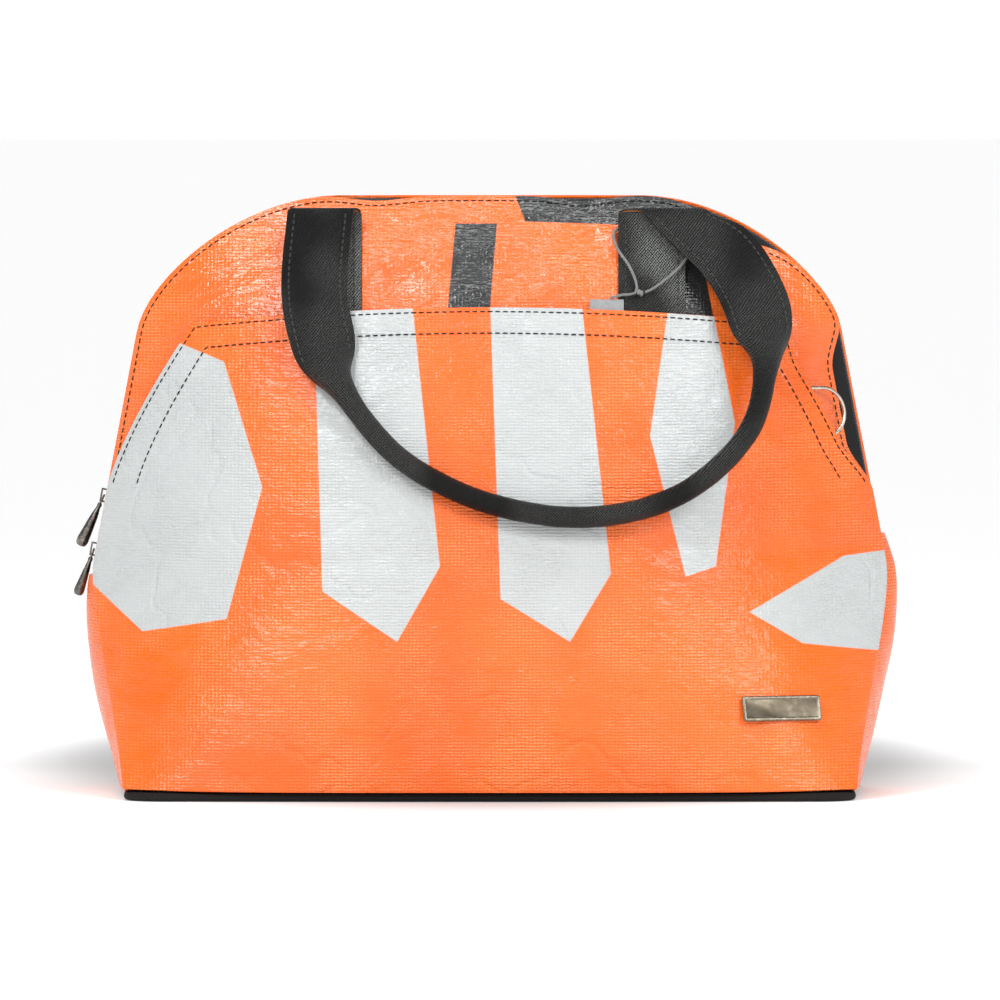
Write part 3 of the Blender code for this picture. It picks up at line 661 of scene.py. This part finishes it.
def back_print(look, body):
    """A white bar and a black one, both leaning."""
    tall = look.both(look.beyond(0.0, 1.0, 0.06), look.beyond(0.0, -1.0, -0.285))
    white = look.both(tall, look.beyond(1.0, 0.25, 0.07), look.beyond(-1.0, -0.25, -0.15))
    black = look.both(tall, look.beyond(1.0, 0.25, -0.11), look.beyond(-1.0, -0.25, 0.075))
    return look.mix(black, look.mix(white, body, WHITE_INK), BLACK_INK)


def leather_look(name, shade=0.008, roughness=0.34, grain=1.0):
    """Cross-hatched, hard-pressed leather, with glints and a sheen painted into its colour."""
    look = Look(name, roughness, specular=0.12)
    drift = look.scaled(look.noise(420.0), 5.0)
    flat = look.sum(look.x, look.scaled(look.y, 0.3))
    hatch = [look.lines(look.sum(flat, look.scaled(look.z, slope)), pitch, drift)
             for slope, pitch in LEATHER_HATCH]
    height = look.sum(look.either(*hatch), look.scaled(look.noise(1700.0), 1.4))
    # Painted sheen: broad soft patches where the painted glints on the ridges show.
    painted_sheen = look.ramp(look.noise(20.0, 1.0, 0.5, look.stretched((1.0, 1.0, 0.7))), 0.36, 0.62, 0.25, 1.0)
    painted_glints = look.scaled(look.ramp(height, 0.95, 2.1), painted_sheen)
    # Colour: near black, painted lighter on the ridges as glints where the painted sheen falls.
    colour = look.mix(painted_glints, (shade * 0.3, shade * 0.3, shade * 0.3),
                      (shade * 40, shade * 41.5, shade * 40))
    normal = look.bump(height, 0.0003 * grain, 0.8)
    normal = look.bump(look.noise(40.0, 3.0), 0.0016, 0.35, normal)
    return look.give(colour, look.ramp(height, -0.4, 1.8, roughness + 0.14, roughness - 0.08), normal)


def cloth_look(name, colour, pitch, roughness=0.85, depth=0.00025):
    look = Look(name, roughness, specular=0.25)
    one = look.lines(look.sum(look.x, look.y), pitch)
    two = look.lines(look.sum(look.z, look.scaled(look.y, 0.5)), pitch)
    weave = look.sum(look.scaled(one, two), look.scaled(look.noise(1400.0), 0.8))
    light = tuple(min(1.0, c * 1.9 + 0.004) for c in colour)
    tint = look.mix(look.ramp(weave, -0.4, 1.6), colour, light)
    return look.give(tint, None, look.bump(weave, depth, 0.7))


def metal_look(name, colour, roughness, wear_colour, speck=220.0):
    look = Look(name, roughness, metallic=1.0)
    worn = look.ramp(look.noise(speck, 4.0, 0.6), 0.48, 0.66)
    tint = look.mix(worn, colour, wear_colour)
    rough = look.ramp(look.noise(speck * 1.7, 3.0), 0.3, 0.7, roughness - 0.05, roughness + 0.16)
    return look.give(tint, rough, look.bump(look.noise(speck * 3, 3.0), 0.00006, 0.4))


def plain_look(name, colour, roughness, scale, depth=0.0001, specular=0.3):
    look = Look(name, roughness, specular=specular)
    value = look.noise(scale, 4.0, 0.6)
    tint = look.mix(look.ramp(value, 0.3, 0.7), tuple(c * 0.82 for c in colour), colour)
    return look.give(tint, None, look.bump(value, depth, 0.6))


def string_look(name, colour):
    look = Look(name, 0.8, specular=0.25)
    twist = look.lines(look.sum(look.x, look.z, look.scaled(look.y, 0.7)), STRING_LAY)
    tint = look.mix(look.ramp(twist, -0.6, 0.9), tuple(c * 0.55 for c in colour), colour)
    return look.give(tint, None, look.bump(twist, 0.0003, 0.8))


POCKET_VINYL = vinyl("vinyl_pocket", pocket_print)
FRONT_VINYL = vinyl("vinyl_front", front_print, coat=0.8, waves=0.0065)
BACK_VINYL = vinyl("vinyl_back", back_print)
SIDE_VINYL = vinyl("vinyl_side", None, (0.0, 1.0), 0.08)
VINYL_EDGE = vinyl("vinyl_edge", None, (1.0, 1.0))
STRAP_LEATHER = leather_look("strap_leather")
GRIP_LEATHER = leather_look("grip_leather", 0.0022, 0.3)
LINING_LEATHER = leather_look("lining_leather", 0.006, 0.46, 0.5)
EDGE_PAINT = plain_look("edge_paint", (0.028, 0.022, 0.018), 0.4, 260.0)
RAW_EDGE = plain_look("raw_edge", (0.22, 0.075, 0.022), 0.65, 300.0)
BASE_CLOTH = cloth_look("base_cloth", (0.0065, 0.005, 0.005), 0.0016)
TAPE_CLOTH = cloth_look("tape_cloth", (0.009, 0.009, 0.01), 0.001, 0.75)
WEBBING = cloth_look("webbing", (0.011, 0.011, 0.012), 0.0014)
THREAD_BLACK = string_look("black_thread", (0.02, 0.019, 0.02))
THREAD_STRAP = string_look("strap_thread", (0.085, 0.085, 0.082))
TEETH_LOOK = plain_look("zip_teeth_nylon", (0.016, 0.016, 0.018), 0.22, 500.0, 0.00004, 0.7)
GUNMETAL = metal_look("gunmetal", (0.155, 0.145, 0.135), 0.24, (0.34, 0.31, 0.27))
NICKEL = metal_look("nickel", (0.58, 0.52, 0.43), 0.2, (0.74, 0.69, 0.6))
PLATE_RIM = metal_look("plate_rim", (0.2, 0.176, 0.136), 0.26, (0.29, 0.26, 0.2))
PLATE_FIELD = metal_look("plate_field", (0.145, 0.122, 0.088), 0.34, (0.21, 0.183, 0.136), 90.0)
BOARD_LOOK = plain_look("stiff_board", (0.33, 0.31, 0.28), 0.9, 400.0)
PATCH_LOOK = cloth_look("patch_cloth", (0.012, 0.012, 0.013), 0.0013)
ROPE_LOOK = string_look("core_rope", (0.62, 0.58, 0.48))
CARD_LOOK = plain_look("grey_card", (0.33, 0.34, 0.35), 0.75, 500.0)
STRING_LOOK = string_look("grey_string", (0.36, 0.37, 0.36))


# ==== tag string
STRING_ROUTE = [(0.068, 0.2818, 0.0052), (0.074, 0.2835, 0.0062), (0.082, 0.2845, 0.0064),
                (0.0825, 0.2905, 0.0066), (0.0785, 0.3, 0.0068), (0.0728, 0.308, 0.0066),
                (0.07, 0.3145, 0.0048), (0.0708, 0.3195, 0.003), (0.079, 0.3228, 0.0026),
                (0.0915, 0.3235, 0.0026), (0.103, 0.323, 0.0028), (0.111, 0.32, 0.0032),
                (0.1134, 0.3145, 0.0052), (0.1128, 0.3075, 0.0072), (0.107, 0.299, 0.0074),
                (0.099, 0.292, 0.0066), (0.092, 0.287, 0.0064), (0.0875, 0.285, 0.0062)]


def tag_string():
    route = smooth_route([(x, -panel_depth(x, z) - out, z) for x, z, out in STRING_ROUTE], 44)[::-1]
    data = bpy.data.curves.new("tag_string_cord", "CURVE")
    data.dimensions = "3D"
    data.bevel_depth = STRING_THICK / 2
    data.bevel_resolution = 4
    data.use_fill_caps = True
    spline = data.splines.new("POLY")
    spline.points.add(len(route) - 1)
    for point, place in zip(spline.points, route):
        point.co = (*place, 1.0)
    cord = wear(link("tag_string_cord", data, STRING_LOOK), "bag", "grey_string", "tag_string")
    template, faces = lozenge([(-0.5, 0), (-0.42, 0.6), (-0.15, 1.0), (0.15, 1.0), (0.42, 0.6), (0.5, 0)], 10)
    knot_at = Vector((0.0848, 0.0, 0.2848))
    knot_at.y = -panel_depth(knot_at.x, knot_at.z) - 0.0063
    frames = []
    for turn, size, shift in ((0.3, 0.004, 0.0), (1.5, 0.0034, 0.0006), (-0.7, 0.0036, -0.0005)):
        along = Vector((cos(turn), 0.25, sin(turn))).normalized()
        aside = along.cross(Vector((0, -1, 0))).normalized()
        axes = Matrix((along * size, aside * KNOT, along.cross(aside) * KNOT)).transposed()
        frames.append((np.array(axes), np.array(knot_at + Vector((shift, -0.0004, -shift)))))
    knot = wear(many("tag_string_knot", template, faces, frames, STRING_LOOK), "bag", "grey_string")


tag_string()


# ==== vinyl
def panels():
    for name, side, look in (("front", -1, FRONT_VINYL), ("back", 1, BACK_VINYL)):
        def place(u, v):
            z = from_base(u, v, HEIGHT)
            x = (2 * u - 1) * half_width(z)
            return panel_point(x, z, side)
        piece = shell(f"{name}_vinyl", place, 170, 120, PANEL, look, 0.0004, VINYL_EDGE)
        wear(piece, "bag", "printed_vinyl", f"{name}_panel")
        line = [zip_frame(at, -EDGE_SEAM_IN)[0] for at in np.linspace(0, ZIP_RUN[-1], 400)]
        row = surface_row(lambda x, z: panel_point(x, z, side),
                          [(-side * point.x, point.z) for point in line])
        stitches(f"{name}_edge_thread", [row], THREAD_BLACK, "bag")


def pocket():
    def place(u, v):
        z = from_base(u, v, POCKET_TOP)
        x = (2 * u - 1) * pocket_half_width(z)
        z += POCKET_CROWN * (1 - (2 * u - 1) ** 2) * v ** 4
        return pocket_face(x, z)

    piece = shell("pocket_vinyl", place, 200, 150, POCKET, POCKET_VINYL, 0.0004, VINYL_EDGE)
    wear(piece, "bag", "printed_vinyl", "pocket_panel")
    rows = []
    for inset in (0.0026, HEM - 0.0002):
        line = [(-(pocket_half_width(z) - inset * 1.15), z)
                for z in np.linspace(POCKET_SIDE_Z + 0.004, POCKET_TOP - inset, 60)]
        corner = line[-1][0] + 0.001
        line += [(x, mouth_height(x) - inset) for x in np.linspace(corner, -corner, 140)]
        line += [(-x, z) for x, z in line[:60][::-1]]
        rows.append(surface_row(pocket_face, line))
    stitches("pocket_thread", rows, THREAD_BLACK, "bag")


def gussets():
    for name, side, zip_end in (("left", -1, ZIP_LEFT_END), ("right", 1, ZIP_RIGHT_END)):
        def place(u, v):
            z = height_at(v, BASE_PLATE + CLEAR, zip_end - GUSSET_END)
            reach = edge_depth(z) - PANEL - CLEAR
            across = 2 * u - 1
            bulge = GUSSET_BULGE * (1 - across ** 2) * sin(pi * min(1.0, 0.15 + 0.75 * v)) - 0.001
            bulge += 0.001 * wave(across * 0.05, z, 0.04, 6.0 + side) * (1 - across ** 4)
            return Vector((side * (half_width(z) + bulge), side * across * reach, z))
        piece = shell(f"gusset_vinyl_{name}", place, 50, 60, GUSSET, SIDE_VINYL, 0.0004)
        wear(piece, "bag", "printed_vinyl", f"side_gusset_{name}")


# ==== zip
def zip_line():
    def half(start):
        keep = OUTLINE[OUTLINE[:, 1] > start]
        return np.concatenate([[(half_width(start), start)], keep])
    return np.concatenate([half(ZIP_LEFT_END) * (-1, 1), half(ZIP_RIGHT_END)[::-1]])


ZIP_LINE = zip_line()
ZIP_RUN = lengths(ZIP_LINE)


def zip_frame(run, out):
    ahead = [np.interp(run + step, ZIP_RUN, ZIP_LINE[:, k]) for step in (-0.002, 0.002) for k in (0, 1)]
    tangent = Vector((ahead[2] - ahead[0], 0.0, ahead[3] - ahead[1])).normalized()
    normal = Vector((-tangent.z, 0.0, tangent.x))
    here = Vector((np.interp(run, ZIP_RUN, ZIP_LINE[:, 0]), 0.0, np.interp(run, ZIP_RUN, ZIP_LINE[:, 1])))
    return here + normal * out, tangent, normal


def zipper():
    row_end = TEETH_SLOT + TEETH_ROW
    template, faces = lozenge([(-0.5, 0), (-0.46, 0.7), (-0.3, 1.0), (0.2, 0.86), (0.4, 1.1), (0.5, 0)], 8)
    for name, side in (("front", -1), ("back", 1)):
        def place(u, v):
            point, _, normal = zip_frame(u * ZIP_RUN[-1], TAPE_OUT)
            inner, outer = row_end - 0.0016, edge_depth(point.z) - PANEL
            near, far = (inner, outer) if side > 0 else (-outer, -inner)
            inset = Vector((-side_inset(point.x, point.z), 0.0, -edge_dip(point.x) * max(0.0, normal.z)))
            reach = smooth(1 - v, 0.0, 1.0) if side < 0 else 0.0
            point.y = near + v * (far - near)
            return point + inset * reach
        tape = shell(f"zip_tape_cloth_{name}", place, 260, 6, TAPE_THICK, TAPE_CLOTH)
        wear(tape, "bag", "zip_tape", f"zipper_tape_{name}")
        frames = []
        count = int(ZIP_RUN[-1] / TOOTH_PITCH)
        for number in range(count):
            run = (number + (0.25 if side > 0 else 0.75)) * TOOTH_PITCH
            middle, tangent, normal = zip_frame(run, TEETH_OUT - TEETH_THICK / 2)
            across = Vector((0.0, float(-side), 0.0))
            reach = row_end + 0.0003
            centre = middle + across * (-(reach / 2) + 0.0004)
            turn = Matrix((across * reach, tangent * 0.00066, normal * (TEETH_THICK / 2 / 1.1))).transposed()
            frames.append((np.array(turn), np.array(centre)))
        teeth = many(f"zip_coil_{name}", template, faces, frames, TEETH_LOOK)
        wear(teeth, "bag", "zip_teeth", f"zipper_teeth_{name}")


def slider_frame(slider):
    z, travel = slider
    foot = Vector((-half_width(z), 0.0, z))
    head = Vector((-half_width(z + travel), 0.0, z + travel))
    along = (head - foot).normalized()
    return foot, Matrix.Rotation(atan2(along.x, along.z), 3, "Y")


def turned(name, profile, steps, matrix, look):
    """A turned form about local Z, closed at both ends on the axis."""
    verts, faces = lozenge([(z, radius) for radius, z in profile[::-1]], steps)
    mesh = bpy.data.meshes.new(name)
    mesh.from_pydata([(y, z, x) for x, y, z in verts], [], faces)
    mesh.transform(matrix)
    mesh.shade_smooth()
    mesh.set_sharp_from_angle(angle=SHARP_TURNED)
    return link(name, mesh, look)


def rounded_profile(points, passes=2):
    """Chaikin rounding of a turned profile, ends kept."""
    for _ in range(passes):
        cut = [points[0]]
        for (a, b), (c, d) in zip(points, points[1:]):
            cut += [(a * 0.75 + c * 0.25, b * 0.75 + d * 0.25), (a * 0.25 + c * 0.75, b * 0.25 + d * 0.75)]
        points = cut + [points[-1]]
    return points


def pull(name, node, slider, length, radius, lean):
    foot, turn = slider_frame(slider)
    out = TEETH_OUT + SLIDER_PLAY + SLIDER_PLATE + BRIDGE_CLEAR / 2
    place = foot + turn @ Vector((-out, 0.0, 0.0))
    matrix = Matrix.Translation(place) @ (turn @ Matrix.Rotation(lean, 3, "Y")).to_4x4()
    neck = -2 * PULL_EYE + PULL_WIRE / 2
    shape = [(0.0, neck + 0.0002), (0.0012, neck), (0.0014, neck - 0.0016), (0.0011, neck - 0.0028),
             (0.0014, neck - 0.0042), (0.62 * radius, neck - 0.008), (0.97 * radius, -length + 1.5 * radius),
             (radius, -length + 0.8 * radius), (0.72 * radius, -length + 0.15 * radius), (0.0, -length)]
    body = turned(name, rounded_profile(shape), 32, matrix, GUNMETAL)
    bm = bmesh.new()
    bm.from_mesh(body.data)
    rings = []
    for a in around(32):
        reaches = [(b, PULL_EYE + PULL_WIRE * cos(b)) for b in around(10)]
        rings.append([bm.verts.new(matrix @ Vector((PULL_WIRE * sin(b), reach * sin(a),
                                                    reach * cos(a) - PULL_EYE)))
                      for b, reach in reaches])
    tube(bm, rings)
    bm.to_mesh(body.data)
    bm.free()
    wear(body, node.replace("zip_pull_", "") + "_pull", "gunmetal", node)


# ==== straps and handles
HINGE_Z = HEIGHT - HINGE_DROP
HINGE_DEPTH = mid_depth(HINGE_Z) + HINGE_OUT
FOLD_RADIUS = FOLD_HALF + STRAP_THICK / 2


def strap_depth(x, z):
    to_fold = HINGE_DEPTH - FOLD_HALF - STRAP_THICK / 2 + STRAP_SLOPE * (HINGE_Z - z)
    return max(panel_depth(x, z) + 2 * CLEAR, to_fold)


def anchored_strap(name, side, across):
    def face(x, z):
        return Vector((-side * x, side * (strap_depth(x, z) + STRAP_THICK), z))

    def place(u, v):
        z = STRAP_FOOT_Z + v * (HINGE_Z - CLEAR - STRAP_FOOT_Z)
        return face(across + (u - 0.5) * STRAP_WIDTH, z)
    strap = shell(name + "_leather", place, 20, 60, STRAP_THICK, STRAP_LEATHER, 0.0006, EDGE_PAINT)
    wear(strap, "bag", "black_leather", name)
    edge = STRAP_WIDTH / 2 - SEAM_IN
    heights = np.linspace(STRAP_FOOT_Z + 0.004, HINGE_Z - 0.003, 40)
    rows = [surface_row(face, [(across + way * edge, z) for z in heights]) for way in (-1, 1)]
    for z in (STRAP_FOOT_Z + 0.004, STRAP_FOOT_Z + 0.03):
        rows.append(surface_row(face, [(across + s * edge, z) for s in np.linspace(-1, 1, 12)]))
    cross = [(across + s * edge, STRAP_FOOT_Z + 0.017 + s * 0.013) for s in np.linspace(-1, 1, 16)]
    rows.append(surface_row(face, cross))
    rows.append(surface_row(face, [(2 * across - x, z) for x, z in cross]))
    stitches(name + "_thread", rows, THREAD_STRAP, "bag", thread=STRAP_THREAD)


def handle_depth(z, side):
    fold = HINGE_DEPTH + FOLD_RADIUS
    below = min(1.0, max(0.0, (HINGE_Z - z) / (HINGE_Z - POCKET_TOP - POCKET_CROWN)))
    cover = pocket_stand_off(0.0, min(z, POCKET_TOP + POCKET_CROWN)) + POCKET if side < 0 else 0.0
    rest = mid_depth(z) + cover + GRIP_RADIUS + 2 * CLEAR
    hanging = fold + (mid_depth(z) - mid_depth(HINGE_Z)) * (1 - below)
    return hanging * (1 - below) + rest * below


def handle_frames(side, count):
    flat = smooth_route([(x, HINGE_Z - 0.0005 - drop) for x, drop in HANDLE_ROUTE], count)
    line = np.array([(-side * x, side * handle_depth(z, side), z) for x, z in flat])
    outward = Vector((0.0, side * cos(HANDLE_LEAN), sin(HANDLE_LEAN)))
    run = lengths(line)
    frames = []
    for i, point in enumerate(line):
        tangent = Vector(line[min(i + 1, count - 1)] - line[max(i - 1, 0)]).normalized()
        front = (outward - tangent * outward.dot(tangent)).normalized()
        aside = tangent.cross(front)
        square = max(0.0, 1 - min(run[i], run[-1] - run[i]) / SQUARE_LENGTH)
        aside = aside.lerp(Vector((1.0 if aside.x > 0 else -1.0, 0.0, 0.0)), square)
        frames.append((Vector(point), front, aside.normalized()))
    return frames, run


def rolled(frame_at, roll, across, lift):
    point, front, aside = frame_at
    if roll < 1e-3:
        return point + aside * across + front * lift
    radius = GRIP_RADIUS / roll
    turn = across / radius
    reach = radius + lift
    behind = radius * (1 - cos(pi * roll))
    forward = max(0.0, behind - GRIP_RADIUS) - radius
    return point + front * (forward + reach * cos(turn)) + aside * (reach * sin(turn))


def roll_at(run, total):
    return smooth((min(run, total - run) - ROLL_START) / ROLL_LENGTH, 0.0, 1.0)


def fold_frames(side, first, strap_x, steps=9):
    """Frames over the fold, from the anchored strap's top to a handle's first frame."""
    point, _, aside = first
    made = []
    for turn in np.linspace(0.0, pi, steps, endpoint=False):
        share = smooth(turn, 0.0, pi)
        x = strap_x + share * (point.x - strap_x)
        place = Vector((x, side * (HINGE_DEPTH - FOLD_RADIUS * cos(turn)),
                        HINGE_Z - CLEAR + FOLD_RADIUS * sin(turn)))
        made.append((place, Vector((0.0, -side * cos(turn), sin(turn))), aside))
    return made


def handle(name, side, body):
    count = 200
    frames, run = handle_frames(side, count)
    width = 2 * pi * GRIP_RADIUS - GRIP_SLIT
    fold_in = fold_frames(side, frames[0], side * STRAP_X)
    fold_out = fold_frames(side, frames[-1], -side * STRAP_X)[::-1]
    rolls = [0.0] * len(fold_in) + [roll_at(r, run[-1]) for r in run] + [0.0] * len(fold_out)
    every = fold_in + frames + fold_out

    def place(u, v):
        i = round(v * (len(every) - 1))
        at = every[i][0]
        soft = 0.00025 * wave(at.x + u * 0.02, at.z + v * 0.3, 0.016, 8.0) * min(1.0, rolls[i] * 2)
        return rolled(every[i], rolls[i], (u - 0.5) * width, soft)

    def fold(piece, node):
        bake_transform(piece)
        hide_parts(node)
    leather = shell(name + "_leather", place, 30, len(every) - 1, LEATHER, GRIP_LEATHER, 0.0004, EDGE_PAINT)
    fold(leather, name)
    flap = int(np.searchsorted(run, FLAP_LENGTH))
    piece_rolls = {id(at): roll for at, roll in zip(every, rolls)}
    groups = {"left": fold_in + frames[:flap], "right": frames[-flap:] + fold_out}
    if side > 0:
        groups = {"right": groups["left"], "left": groups["right"]}
    for hand, piece in groups.items():
        def under(u, v):
            at = piece[round(v * (len(piece) - 1))]
            roll = piece_rolls[id(at)]
            return rolled(at, roll, (u - 0.5) * (width - 0.002), -LEATHER - 0.0001)
        lining = shell(f"{name}_lining_skin_{hand}", under, 12, len(piece) - 1, LINING, LINING_LEATHER, 0.0,
                       RAW_EDGE)
        fold(lining, f"{name}_lining_{hand}")
    rows = []
    for way in (-1, 1):
        across = way * (width / 2 - SEAM_IN)
        sewn = [i for i in range(count) if min(run[i], run[-1] - run[i]) < ROLL_START + 0.024]
        half = len([i for i in sewn if run[i] < run[-1] / 2])
        for piece in (sewn[:half], sewn[half:]):
            row = []
            for i in piece:
                spot = rolled(frames[i], rolls[i + len(fold_in)], across, 0.0)
                raised = rolled(frames[i], rolls[i + len(fold_in)], across, 0.001)
                row.append((spot, (raised - spot).normalized()))
            rows.append(row)
    stitches(name + "_thread", rows, THREAD_STRAP, body, thread=STRAP_THREAD)


# ==== fittings
def panel_frame(x, z, depth):
    step = 0.002
    across = Vector((2 * step, -(depth(x + step, z) - depth(x - step, z)), 0.0)).normalized()
    up = Vector((0.0, -(depth(x, z + step) - depth(x, z - step)), 2 * step))
    out = across.cross(up).normalized()
    up = out.cross(across)
    return Vector((x, -depth(x, z), z)), Matrix((across, up, out)).transposed()


def rounded_rect(width, height, corner, steps=6):
    points = []
    for turn, (sx, sy) in enumerate([(1, 1), (-1, 1), (-1, -1), (1, -1)]):
        for step in range(steps + 1):
            angle = (turn + step / steps) * pi / 2
            points.append((sx * (width / 2 - corner) + corner * cos(angle),
                           sy * (height / 2 - corner) + corner * sin(angle)))
    return points


def stacked(name, loops, looks, matrix, top_look=0):
    """A closed form lofted through equal loops of (points, height), capped at both ends."""
    bm = bmesh.new()
    rings = [[bm.verts.new(matrix @ Vector((x, y, z))) for x, y in points] for points, z in loops]
    count = len(rings[0])
    for low, high in zip(rings, rings[1:]):
        for k in range(count):
            bm.faces.new((low[k], low[(k + 1) % count], high[(k + 1) % count], high[k])).smooth = True
    bm.faces.new(rings[0][::-1])
    cap = bm.faces.new(rings[-1])
    cap.material_index = top_look
    bmesh.ops.recalc_face_normals(bm, faces=bm.faces)
    mesh = meshed(name, bm)
    mesh.set_sharp_from_angle(angle=SHARP_METAL)
    return link(name, mesh, looks)


def nameplate():
    def depth(x, z):
        return panel_depth(x, z) + pocket_stand_off(x, z) + POCKET
    place, turn = panel_frame(PLATE_X, PLATE_Z, depth)
    width, height, thick = PLATE_SIZE
    base = 2 * CLEAR
    loops = []
    for inset, z in ((0.0004, base), (0.0, base + 0.0003), (0.0, base + thick - 0.0008),
                     (0.0003, base + thick - 0.0003), (0.0008, base + thick), (0.0015, base + thick),
                     (0.0019, base + thick - 0.0003), (0.0022, base + thick - 0.0005)):
        loops.append((rounded_rect(width - 2 * inset, height - 2 * inset, max(0.0004, 0.0016 - inset)), z))
    matrix = Matrix.Translation(place) @ turn.to_4x4()
    plate = stacked("nameplate_metal", loops, [PLATE_RIM, PLATE_FIELD], matrix, 1)
    wear(plate, "bag", "nickel_plate", "nameplate")


def d_ring():
    place, turn = panel_frame(RING_X, RING_Z, panel_depth)
    lift = TAB + RING_WIRE + 2 * CLEAR
    bar = place + turn @ Vector((0, 0, lift))
    matrix = Matrix.Translation(bar) @ (turn @ Matrix.Rotation(RING_TILT, 3, "Y")).to_4x4()
    half = RING_HEIGHT / 2 - RING_WIRE
    bow = RING_REACH - RING_WIRE
    points = [(0.0, y) for y in np.linspace(half - 0.001, -half + 0.001, 12)]
    points += [(0.0004, -half + 0.0003), (0.001, -half)]
    points += [(bow - half + half * sin(a), -half * cos(a)) for a in np.linspace(0.0, pi, 48)]
    points += [(0.001, half), (0.0004, half - 0.0003)]
    bm = bmesh.new()
    rings = []
    count = len(points)
    for i, (x, y) in enumerate(points):
        ahead, behind = Vector(points[(i + 1) % count]), Vector(points[i - 1])
        along = (ahead - behind).normalized()
        side = Vector((along.y, -along.x, 0.0))
        rings.append([bm.verts.new(matrix @ (Vector((x, y, 0.0)) + side * RING_WIRE * cos(b)
                                             + Vector((0, 0, RING_WIRE * sin(b)))))
                      for b in around(14)])
    tube(bm, rings)
    wear(link("d_ring_wire", meshed("d_ring_wire", bm), NICKEL), "ring", "gunmetal", "d_ring")


def base_slab():
    loops = []
    steps = 7
    for inset, z in ((0.0022, 0.0), (0.0007, 0.0005), (0.0, 0.0016), (0.0, 0.003), (0.0005, 0.0042),
                     (0.002, BASE_PLATE)):
        loops.append((rounded_rect(BASE_WIDTH - 2 * inset, BASE_DEPTH - 2 * inset,
                                   BASE_CORNER - inset, steps), z))
    slab = stacked("base_cloth_slab", loops, [BASE_CLOTH], Matrix())
    wear(slab, "bag", "base_cloth", "base_panel")


def carried_over():
    """CAD nodes whose own shape is right only take a finish."""
    finishes = {"base_board": BOARD_LOOK, "hang_tag": CARD_LOOK, "d_ring_tab": WEBBING,
                "nameplate_backing": GUNMETAL, "zip_slider_upper": GUNMETAL,
                "zip_slider_lower": GUNMETAL}
    for hand in ("left", "right"):
        finishes[f"zip_end_tab_{hand}"] = STRAP_LEATHER
        for end in ("front", "back"):
            finishes[f"strap_patch_{end}_{hand}"] = PATCH_LOOK
            finishes[f"handle_{end}_core"] = ROPE_LOOK
    for node, look in finishes.items():
        obj = NODES[node]
        if not obj.material_slots:
            obj.data.materials.append(look)
        for place in obj.material_slots:
            place.material = look


panels()
pocket()
gussets()
zipper()
pull("zip_pull_upper_turned", "zip_pull_upper", UPPER_SLIDER, 0.032, 0.0035, radians(15))
pull("zip_pull_lower_turned", "zip_pull_lower", LOWER_SLIDER, 0.028, 0.003, radians(9))
for END, SIDE in (("front", -1), ("back", 1)):
    anchored_strap(f"strap_{END}_left", SIDE, SIDE * STRAP_X)
    anchored_strap(f"strap_{END}_right", SIDE, -SIDE * STRAP_X)
    handle(f"handle_{END}", SIDE, f"{END}_handle")
nameplate()
d_ring()
base_slab()
carried_over()


# ==== floor and light
def studio():
    mesh = bpy.data.meshes.new("floor")
    size = 40.0
    mesh.from_pydata([(-size, -size, -0.0002), (size, -size, -0.0002), (size, size, -0.0002),
                      (-size, size, -0.0002)], [], [(0, 1, 2, 3)])
    paper = Look("floor_paper", 1.0, specular=0.0)
    paper.shader.inputs["Emission Color"].default_value = (1.0, 1.0, 1.0, 1.0)
    # Round the bag the paper is darker and glows less: a painted shadow beside and behind the base.
    beside = paper.scaled(paper.math("ADD", paper.y, -0.35), 0.5)
    away = paper.math("SQRT", paper.sum(paper.scaled(paper.x, paper.x), paper.scaled(beside, beside)))
    paper.join(paper.shader.inputs["Emission Strength"], paper.ramp(away, *PAINTED_SHADOW_REACH, 0.03, 0.2))
    paper_with_painted_shadow = paper.mix(paper.ramp(away, *PAINTED_SHADOW_REACH), (0.52, 0.52, 0.52), (0.9, 0.9, 0.9))
    floor = link("floor", mesh, paper.give(paper_with_painted_shadow))
    world = bpy.data.worlds.new("studio")
    world.use_nodes = True
    tree = world.node_tree
    split = tree.nodes.new("ShaderNodeSeparateXYZ")
    sky = tree.nodes.new("ShaderNodeMapRange")
    tree.links.new(split.inputs[0], tree.nodes.new("ShaderNodeTexCoord").outputs["Generated"])
    tree.links.new(sky.inputs[0], split.outputs[2])
    for socket, number in zip(sky.inputs[1:5], (0.12, 0.6, 1.1, 0.2)):
        socket.default_value = number
    tree.nodes["Background"].inputs["Color"].default_value = (1.0, 1.0, 1.0, 1.0)
    tree.links.new(tree.nodes["Background"].inputs["Strength"], sky.outputs[0])
    bpy.context.scene.world = world
    for name, across, ahead, energy in (("sun_left", 0.5, 1.0, 1.05), ("sun_right", -0.6, 1.0, 1.05),
                                        ("sun_back", 0.3, -1.0, 0.6)):
        data = bpy.data.lights.new(name, "SUN")
        data.energy, data.angle = energy, radians(22)
        add(name, data).rotation_euler = Vector((across, ahead, -0.85)).to_track_quat("-Z", "Y").to_euler()
    softbox("key", (-0.9, -1.6, 1.9), (0.0, 0.0, 0.2), 0.9, 0.35, 9.0)
    softbox("fill", (1.7, -1.9, 1.0), (0.0, 0.0, 0.15), 0.35, 1.2, 6.0)
    softbox("top", (0.1, -0.5, 1.9), (0.0, 0.0, 0.3), 1.6, 0.3, 11.0)
    bpy.context.scene.view_settings.view_transform = "Standard"


studio()
